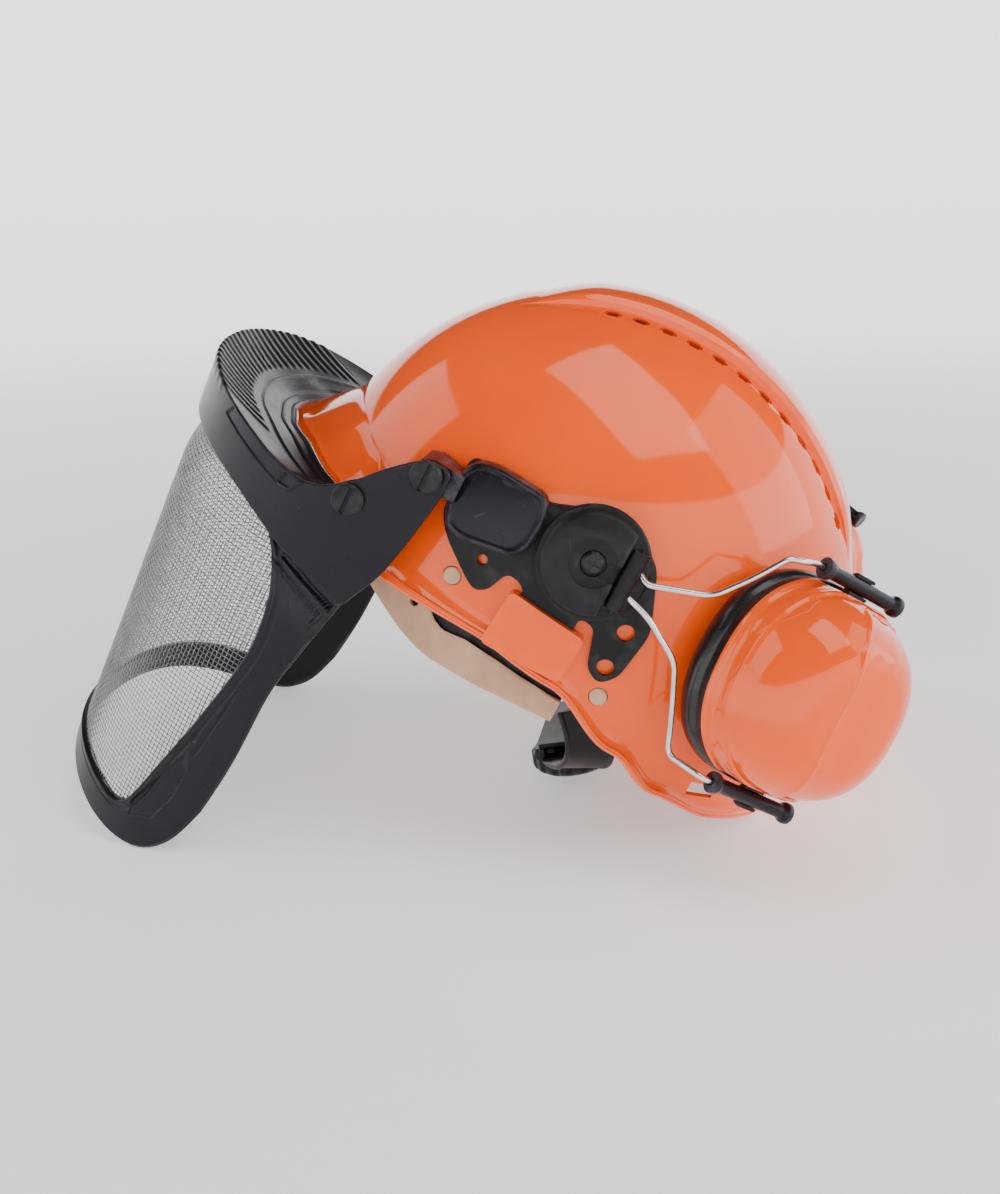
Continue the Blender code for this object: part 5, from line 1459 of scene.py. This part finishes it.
def build_cup(side, hand):
    cup = cup_matrix()
    rim = [(1.0, 0.0006, CUP_RIM), (1.0, 0.0, CUP_RIM + 0.0006), (1.0, 0.0, CUP_RIM + 0.0030),
           (1.0, 0.0003, CUP_RIM + 0.0035), (1.0, CUP_SET_IN - 0.0004, CUP_RIM + 0.0041),
           (1.0, CUP_SET_IN, CUP_RIM + 0.0047)]
    outer = [cup_loop(cup, f, m, level) for f, m, level in rim]
    outer += [cup_loop(cup, f, m, level) for f, m, level in dome_profile(0.0, 72)]
    inner = [cup_loop(cup, 1.0, CUP_SET_IN + CUP_WALL, CUP_RIM)]
    inner += [cup_loop(cup, f, m, level) for f, m, level in dome_profile(CUP_WALL, 34)]
    bm = loft(list(reversed(inner)) + outer)
    bm.normal_update()
    back = cup.inverted()
    for vert in list(bm.verts)[len(inner) * CUP_COUNT:]:
        spot = back @ vert.co
        if spot.z > 0.0010:
            vert.co += vert.normal * cup_relief(spot.x, spot.y)
    shell = solid("cup_dome_" + side, bm, 40)
    rooms, pins = [], []
    for inward in (1, -1):
        pin = pin_matrix(cup, inward)
        rooms.append(block((0.0200, 0.0330, 0.0120), (-0.0024, 0, SLIDER_RADIUS + GAP - 0.0060),
                           pin))
        pins.append(cylinder(pin, PIN_SIZE + GAP, 0.0022, SLIDER_RADIUS + 0.0060, 28))
    carve(shell, merge(*rooms), "DIFFERENCE", 40)
    carve(shell, merge(*pins), "DIFFERENCE", 40)
    place(shell, ORANGE, "cup_" + side, ["cup_shell_" + side], hand)

    plate = [(0.0008, BACKPLATE_BACK), (0.0005, BACKPLATE_BACK - 0.0004),
             (0.0005, CUSHION_BACK + GAP + 0.0004), (0.0008, CUSHION_BACK + GAP),
             (0.0170, CUSHION_BACK + GAP), (0.0170, BACKPLATE_BACK)]
    rings = [cup_loop(cup, 1.0, m, level) for m, level in plate]
    band = section_loft([list(c) for c in zip(*rings)], True)
    piece("cup_seal_plate_" + side, band, BLACK, "cup_" + side,
          ["cup_backplate_" + side], hand)
    build_cushion(side, hand, cup)


def build_cushion(side, hand, cup):
    """The ear cushion: a full, soft ring whose skin gathers a little at its welded seams."""
    middle = (CUSHION_FACE + CUSHION_BACK) / 2
    half = (CUSHION_BACK - CUSHION_FACE) / 2
    centre, reach = 0.0088, 0.0092            # of the ring's section, in from the cup's edge
    columns = []
    for k in range(CUP_COUNT):
        a = math.tau * k / CUP_COUNT
        c, s = math.cos(a), math.sin(a)
        e = 2 / CUP_POWER
        gather = 0.5 + 0.5 * noise.noise(Vector((c * 7, s * 7, 1.3)))
        section = []
        for i in range(36):
            b = math.tau * i / 36
            bulge = signed_power(math.cos(b), 0.72)
            height = signed_power(math.sin(b), 0.80)
            seam = math.exp(-((b - math.pi * 0.5) / 0.30) ** 2)
            pucker = noise.noise(Vector((c * 30, s * 30, math.sin(b) * 2.5)))
            swell = 1 + 0.035 * pucker * seam + 0.012 * (gather - 0.5)
            margin = centre - reach * bulge * swell
            u = (CUP_HALF_LENGTH - margin) * signed_power(c, e)
            v = (CUP_HALF_HEIGHT - margin) * signed_power(s, e)
            section.append(cup @ Vector((u, v, middle + half * height * swell)))
        columns.append(section)
    bm = section_loft(columns, True)
    cushion = piece("ear_cushion_skin_" + side, bm, VINYL, "cup_" + side,
                    ["ear_cushion_" + side], hand, 60)


# ================================================================ harness
def band_frame(turn):
    """Point on the headband's path and its outward direction at a turn from the brow."""
    path = Vector((BAND_HALF_WIDTH * math.sin(turn), BAND_CENTRE_Y - BAND_FRONT * math.cos(turn), 0))
    out = Vector((path.x / BAND_HALF_WIDTH ** 2, (path.y - BAND_CENTRE_Y) / BAND_FRONT ** 2, 0))
    if abs(turn) > math.pi / 2:
        over = (abs(turn) - math.pi / 2) * BAND_HALF_WIDTH
        path = Vector((math.copysign(BAND_HALF_WIDTH - 0.10 * over, turn), over, 0))
        out = Vector((path.x, 0, 0))
    return path, out.normalized()


FLAP_STATIONS = (                   # turn from the brow, height of the leather's cut edge
    (0.0, 0.0160), (0.60, 0.0165), (1.05, 0.0165), (1.17, 0.0185), (1.235, 0.0165),
    (1.27, 0.0135), (1.33, 0.0118), (1.44, 0.0135), (1.60, 0.0122), (1.75, 0.0103),
    (1.95, 0.0085), (2.10, 0.0080),
)
SNAP_HOLE = (1.16, 0.0130)          # turn and height of the snap's hole
BAND_STEPS = 200


def band_sections(turn):
    """Sections through the headband and the leather folded over it, at a turn from the brow."""
    path, out = band_frame(turn)
    floor = band_floor(path.y)
    t = BAND_THICK

    def at(offset, z):
        return path + out * offset + Vector((0, 0, floor + z))

    band = [at(0.0003, 0.004), at(t - 0.0003, 0.004), at(t, 0.0043), at(t, 0.0357),
            at(t - 0.0003, 0.036), at(0.0003, 0.036), at(0, 0.0357), at(0, 0.0043)]
    flap = float(np.interp(abs(turn), *zip(*FLAP_STATIONS)))
    loose = smoothstep(1.75, 2.0, abs(turn))
    puff = (0.0004 + 0.0010 * loose) * noise.noise(Vector((path.x * 60, path.y * 60, 0.4)))
    puff += 0.0005 * noise.noise(Vector((path.x * 180, path.y * 180, 2.4)))
    fold = [at(-0.0005, 0.0030), at(-0.0005, 0.0335)]
    for i in range(9):                        # inner pad: over the top and down the inside
        a = math.pi * i / 8
        fold.append(at(-0.0018 + 0.0013 * math.cos(a), 0.0335 + 0.0012 * math.sin(a)))
    for i in range(1, 10):
        fold.append(at(-0.0031 - 0.0005 * math.sin(math.pi * i / 10) + puff * 0.5,
                       0.0335 - 0.0338 * i / 10))
    for i in range(13):                       # round the lower edge
        a = math.pi * i / 12
        fold.append(at(t / 2 - (t / 2 + 0.0031) * math.cos(a), -0.0003 - 0.0022 * math.sin(a)))
    for i in range(1, 9):                     # up the outside to the cut flap
        fold.append(at(t + 0.0029 - 0.0007 * (i / 8) ** 2 + puff, flap * i / 8))
    fold += [at(t + 0.0018, flap + 0.0005), at(t + 0.0008, flap), at(t + 0.0006, 0.0030)]
    return band, fold


def build_headband():
    limit = math.pi / 2 + BAND_END_Y / BAND_HALF_WIDTH * 0.8
    turns = [limit * (2 * k / BAND_STEPS - 1) for k in range(BAND_STEPS + 1)]
    rings, folds = zip(*(band_sections(turn) for turn in turns))
    piece("harness_band", section_loft(rings), BLACK, "helmet", ["headband"])
    leather_band = solid("sweatband_leather", section_loft(folds), 50)
    holes = []
    for sign in (1, -1):
        path, out = band_frame(sign * SNAP_HOLE[0])
        spot = path + Vector((0, 0, band_floor(path.y) + SNAP_HOLE[1]))
        across = out.cross(Vector((0, 0, 1)))
        matrix = frame_matrix(spot, across, Vector((0, 0, 1)), out)
        holes.append(cylinder(matrix, 0.0021, BAND_THICK + 0.0002, 0.0090, 28))
    carve(leather_band, merge(*holes), "DIFFERENCE", 50)
    place(leather_band, TAN, "helmet", ["sweatband"])


def strap_spots():
    spots = {}
    for place_name, (y, z) in PIN_SPOTS.items():
        for side, hand in (("left", 1), ("right", -1)):
            inner_wall = side_x(y, z) - SHELL_WALL
            spots[place_name, side] = Vector((hand * (inner_wall - 0.0078), y, z + 0.0118))
    return spots


def build_crown_strap(name, start, end, top, cad_node):
    """A webbing strap over the head, with a slightly thickened woven edge."""
    rings = []
    count = 110
    middle, half = (start + end) / 2, (end - start) / 2
    lift = top - middle.z
    flat = Vector((half.x, half.y, 0)).normalized()
    sideways = flat.cross(Vector((0, 0, 1)))
    shares = (-1.0, -0.97, -0.88, -0.84, -0.5, 0.0, 0.5, 0.84, 0.88, 0.97, 1.0)
    swell = (0.35, 0.85, 1.0, 0.72, 0.76, 0.78, 0.76, 0.72, 1.0, 0.85, 0.35)
    for k in range(count + 1):
        a = math.pi * k / count
        p = Vector((middle.x - half.x * math.cos(a), middle.y - half.y * math.cos(a),
                    start.z + (end.z - start.z) * k / count + lift * math.sin(a) ** 0.86))
        slope = Vector((half.x * math.sin(a), half.y * math.sin(a), lift * math.cos(a)))
        slope.normalize()
        out = sideways.cross(slope).normalized()
        if out.z < 0:
            out = -out
        if k in (0, count):
            out = flat * (-1 if k == 0 else 1)
        centre = p + out * STRAP_THICK / 2
        upper = [centre + sideways * STRAP_WIDTH / 2 * s + out * STRAP_THICK / 2 * h
                 for s, h in zip(shares, swell)]
        lower = [centre + sideways * STRAP_WIDTH / 2 * s - out * STRAP_THICK / 2 * h
                 for s, h in zip(shares, swell)]
        rings.append(upper + list(reversed(lower)))
    piece(name, section_loft(rings), WEBBING, "helmet", [cad_node], sharp=50)


NAPE_ROUTE = (
    (0.0745, 0.0450, -0.0125), (0.0735, 0.0530, -0.0220), (0.0680, 0.0580, -0.0335),
    (0.0560, 0.0575, -0.0440), (0.0430, 0.0535, -0.0500), (0.0304, 0.0509, -0.0547),
)
RACK_ROOM = 0.0012                  # the strap's end stands this far clear of the rack


def build_nape():
    m = knob_matrix()
    face = m.to_3x3() @ Vector((0, 0, 1))
    points = smooth_steps(NAPE_ROUTE, 14)
    for side, hand in (("left", 1), ("right", -1)):
        rings = []
        for k, p in enumerate(points):
            share = k / (len(points) - 1)
            p = Vector(p)
            out = Vector((1, 0, 0)).lerp(face, share).normalized()
            ahead = Vector(points[min(k + 1, len(points) - 1)]) - Vector(points[max(k - 1, 0)])
            if share == 1.0:
                ahead = Vector((-1, 0, 0))
            wide = out.cross(ahead).normalized() * (0.011 - 0.001 * share)
            out = ahead.cross(wide).normalized()
            if out.dot(face) < 0 and share > 0.5:
                out = -out
            section = []
            lift = RACK_ROOM * smoothstep(0.75, 1.0, share)
            for s, h in ((-1, 0.0004 + lift), (-0.96, lift), (0.96, lift), (1, 0.0004 + lift),
                         (1, 0.0018), (0.96, 0.0022), (0.84, 0.0022), (0.78, 0.0017),
                         (-0.78, 0.0017), (-0.84, 0.0022), (-0.96, 0.0022), (-1, 0.0018)):
                section.append(p + wide * s + out * h)
            rings.append(section)
        piece("nape_strap_" + side, section_loft(rings), BLACK, "helmet",
              ["nape_arm_" + side], hand)

    housing = block((0.060, 0.026, 0.0095), (0, 0, -0.0060), m)
    bmesh.ops.bevel(housing, geom=housing.edges[:], offset=0.0022, segments=6, affect="EDGES")
    case = solid("ratchet_case", housing, 30)
    carve(case, block((0.080, 0.0172, 0.0056), (0, 0, -0.0060), m), "DIFFERENCE", 30)
    carve(case, cylinder(m, 0.0034, -0.0050, 0.004, 40), "DIFFERENCE", 30)
    place(case, BLACK, "helmet", ["ratchet_housing"])

    knob = solid("ratchet_grip", fluted_knob(m), 32)
    carve(knob, cylinder(m, 0.0029, -0.0060, 0.001, 36), "UNION", 32)
    carve(knob, cylinder(m, 0.0036, -0.0083, -0.0040, 36), "UNION", 32)
    place(knob, SATIN, "knob", ["ratchet_knob"])


def fluted_knob(matrix):
    """A mushroom knob with finger flutes round its side and a dished face."""
    profile = ((0.62, 0.0, 0.0), (0.80, 0.0002, 0.2), (0.93, 0.0012, 0.6), (1.0, 0.0026, 1.0),
               (1.0, 0.0050, 1.0), (1.0, 0.0076, 1.0), (0.975, 0.0090, 0.7), (0.92, 0.0102, 0.3),
               (0.84, 0.0112, 0.0), (0.70, 0.0119, 0.0), (0.58, 0.0123, 0.0), (0.54, 0.0114, 0.0),
               (0.48, 0.0112, 0.0), (0.30, 0.0116, 0.0), (0.12, 0.0118, 0.0))
    rings = []
    count = 216
    for share, height, grip in profile:
        ring = []
        for k in range(count):
            a = math.tau * k / count
            flute = 0.0011 * grip * smoothstep(0.2, 0.9, 0.5 + 0.5 * math.cos(18 * a))
            r = KNOB_RADIUS * share - flute
            ring.append(matrix @ Vector((r * math.cos(a), r * math.sin(a), height)))
        rings.append(ring)
    return loft(rings)


# ================================================================ assembly
build_shell()
for side_name, hand_sign in (("left", 1), ("right", -1)):
    build_carrier(side_name, hand_sign)
    build_hub(side_name, hand_sign)
    build_yoke(side_name, hand_sign)
    build_cup(side_name, hand_sign)
build_guard()
build_frame()
build_screen()
build_headband()
SPOTS = strap_spots()
build_crown_strap("crown_webbing_lower", SPOTS["front", "left"], SPOTS["rear", "right"],
                  STRAP_TOP, "crown_strap_lower")
build_crown_strap("crown_webbing_upper", SPOTS["front", "right"], SPOTS["rear", "left"],
                  STRAP_TOP + 0.0050, "crown_strap_upper")
build_nape()

CAD_FINISH = (("visor_pivot_screw_", BLACK, 0.00035), ("brow_screw_", BLACK, 0.00035),
              ("hub_screw_", SCREW_STEEL, 0.0002), ("hinge_pin_", SCREW_STEEL, 0.0002),
              ("harness_pin_", TAN, 0.0005), ("strap_anchor_", BLACK, 0.0006),
              ("ratchet_rack_", BLACK, 0.0003), ("cup_foam_", FOAM, 0.0012))
for name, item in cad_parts.items():
    for start_of_name, mat, width in CAD_FINISH:
        if name.startswith(start_of_name):
            item.data.materials.clear()
            item.data.materials.append(mat)
            bevelled(item, width, 3, 40)

# ================================================================ stage, light and camera
FLOOR_RINGS = ((0.0, 0.0), (0.4, 0.0), (1.0, 0.0), (2.0, 0.0), (2.8, 0.0), (3.1, 0.02), (3.3, 0.08),
               (3.45, 0.2), (3.55, 0.4), (3.6, 0.8), (3.62, 1.8))
FLOOR_GLOW, BACKDROP_GLOW = 0.42, 1.2
SOFT_BOXES = (                      # name, place, aim, width and height, power
    ("top_box", (0.42, 0.45, 1.25), (0.05, 0.05, 0.15), (0.62, 1.05), 6.4),
    ("rear_box", (0.10, 1.20, 0.75), (0.05, 0.10, 0.17), (0.95, 1.10), 6.0),
    ("front_box", (0.10, -1.15, 1.10), (0.05, -0.05, 0.18), (1.10, 0.75), 5.4),
    ("side_fill", (1.60, 0.05, 0.55), (0.05, 0.0, 0.12), (1.2, 1.0), 0.6),
)
CAMERA_PLACE = Vector((0.60830, 0.11527, 0.27129))
CAMERA_AXES = (Vector((-0.16161, 0.98678, -0.01240)), Vector((-0.25046, -0.02886, 0.96770)),
               Vector((0.95454, 0.15950, 0.25182)))     # right, up and back
CAMERA_LENS = 40.48
CAMERA_SHIFT = (-0.0016, -0.0359)


def build_stage():
    """A pale floor that curves up into a low backdrop on every side."""
    rings = [[Vector((max(r, 0.001) * math.cos(a), max(r, 0.001) * math.sin(a), z))
              for a in (math.tau * k / 96 for k in range(96))] for r, z in FLOOR_RINGS]
    bm = loft(rings, capped=False)
    bmesh.ops.contextual_create(bm, geom=[e for e in bm.edges if e.is_boundary
                                          and e.verts[0].co.length < 0.01])
    for face in bm.faces:
        face.smooth = True
    mesh = bpy.data.meshes.new("floor")
    bm.to_mesh(mesh)
    bm.free()
    floor = bpy.data.objects.new("floor", mesh)
    bpy.context.scene.collection.objects.link(floor)
    mat, tree, shader = material("pale_floor")
    tree.links.new(mottle(tree, 3, 3.0, 0.7, (0.94, 0.935, 0.935), (0.93, 0.925, 0.93)),
                   shader.inputs["Base Color"])
    shader.inputs["Roughness"].default_value = 0.7
    shader.inputs["Specular IOR Level"].default_value = 0.2
    shader.inputs["Emission Color"].default_value = (1, 1, 1, 1)
    coords = tree.nodes.new("ShaderNodeTexCoord")
    length = tree.nodes.new("ShaderNodeVectorMath")
    length.operation = "LENGTH"
    tree.links.new(coords.outputs["Object"], length.inputs[0])
    tree.links.new(spread(tree, length.outputs["Value"], 0.45, 2.2, FLOOR_GLOW, BACKDROP_GLOW),
                   shader.inputs["Emission Strength"])
    mesh.materials.append(mat)


def soft_box(name, centre, target, size, power):
    light = bpy.data.lights.new(name, "AREA")
    light.shape = "RECTANGLE"
    light.size, light.size_y = size
    light.energy = power
    obj = bpy.data.objects.new(name, light)
    obj.location = centre
    obj.rotation_euler = (Vector(target) - Vector(centre)).to_track_quat("-Z", "Y").to_euler()
    bpy.context.scene.collection.objects.link(obj)
    return obj


build_stage()
for row in SOFT_BOXES:
    soft_box(*row)

world = bpy.data.worlds.new("studio")
world.use_nodes = True
world.node_tree.nodes["Background"].inputs["Color"].default_value = (1.0, 0.99, 0.985, 1.0)
world.node_tree.nodes["Background"].inputs["Strength"].default_value = 0.08
bpy.context.scene.world = world

camera_data = bpy.data.cameras.new("camera")
camera_data.sensor_width = 36.0
camera_data.lens = CAMERA_LENS
camera_data.shift_x, camera_data.shift_y = CAMERA_SHIFT
camera_data.clip_start = 0.01
camera = bpy.data.objects.new("camera", camera_data)
camera.matrix_world = frame_matrix(CAMERA_PLACE, *CAMERA_AXES)
bpy.context.scene.collection.objects.link(camera)
bpy.context.scene.camera = camera
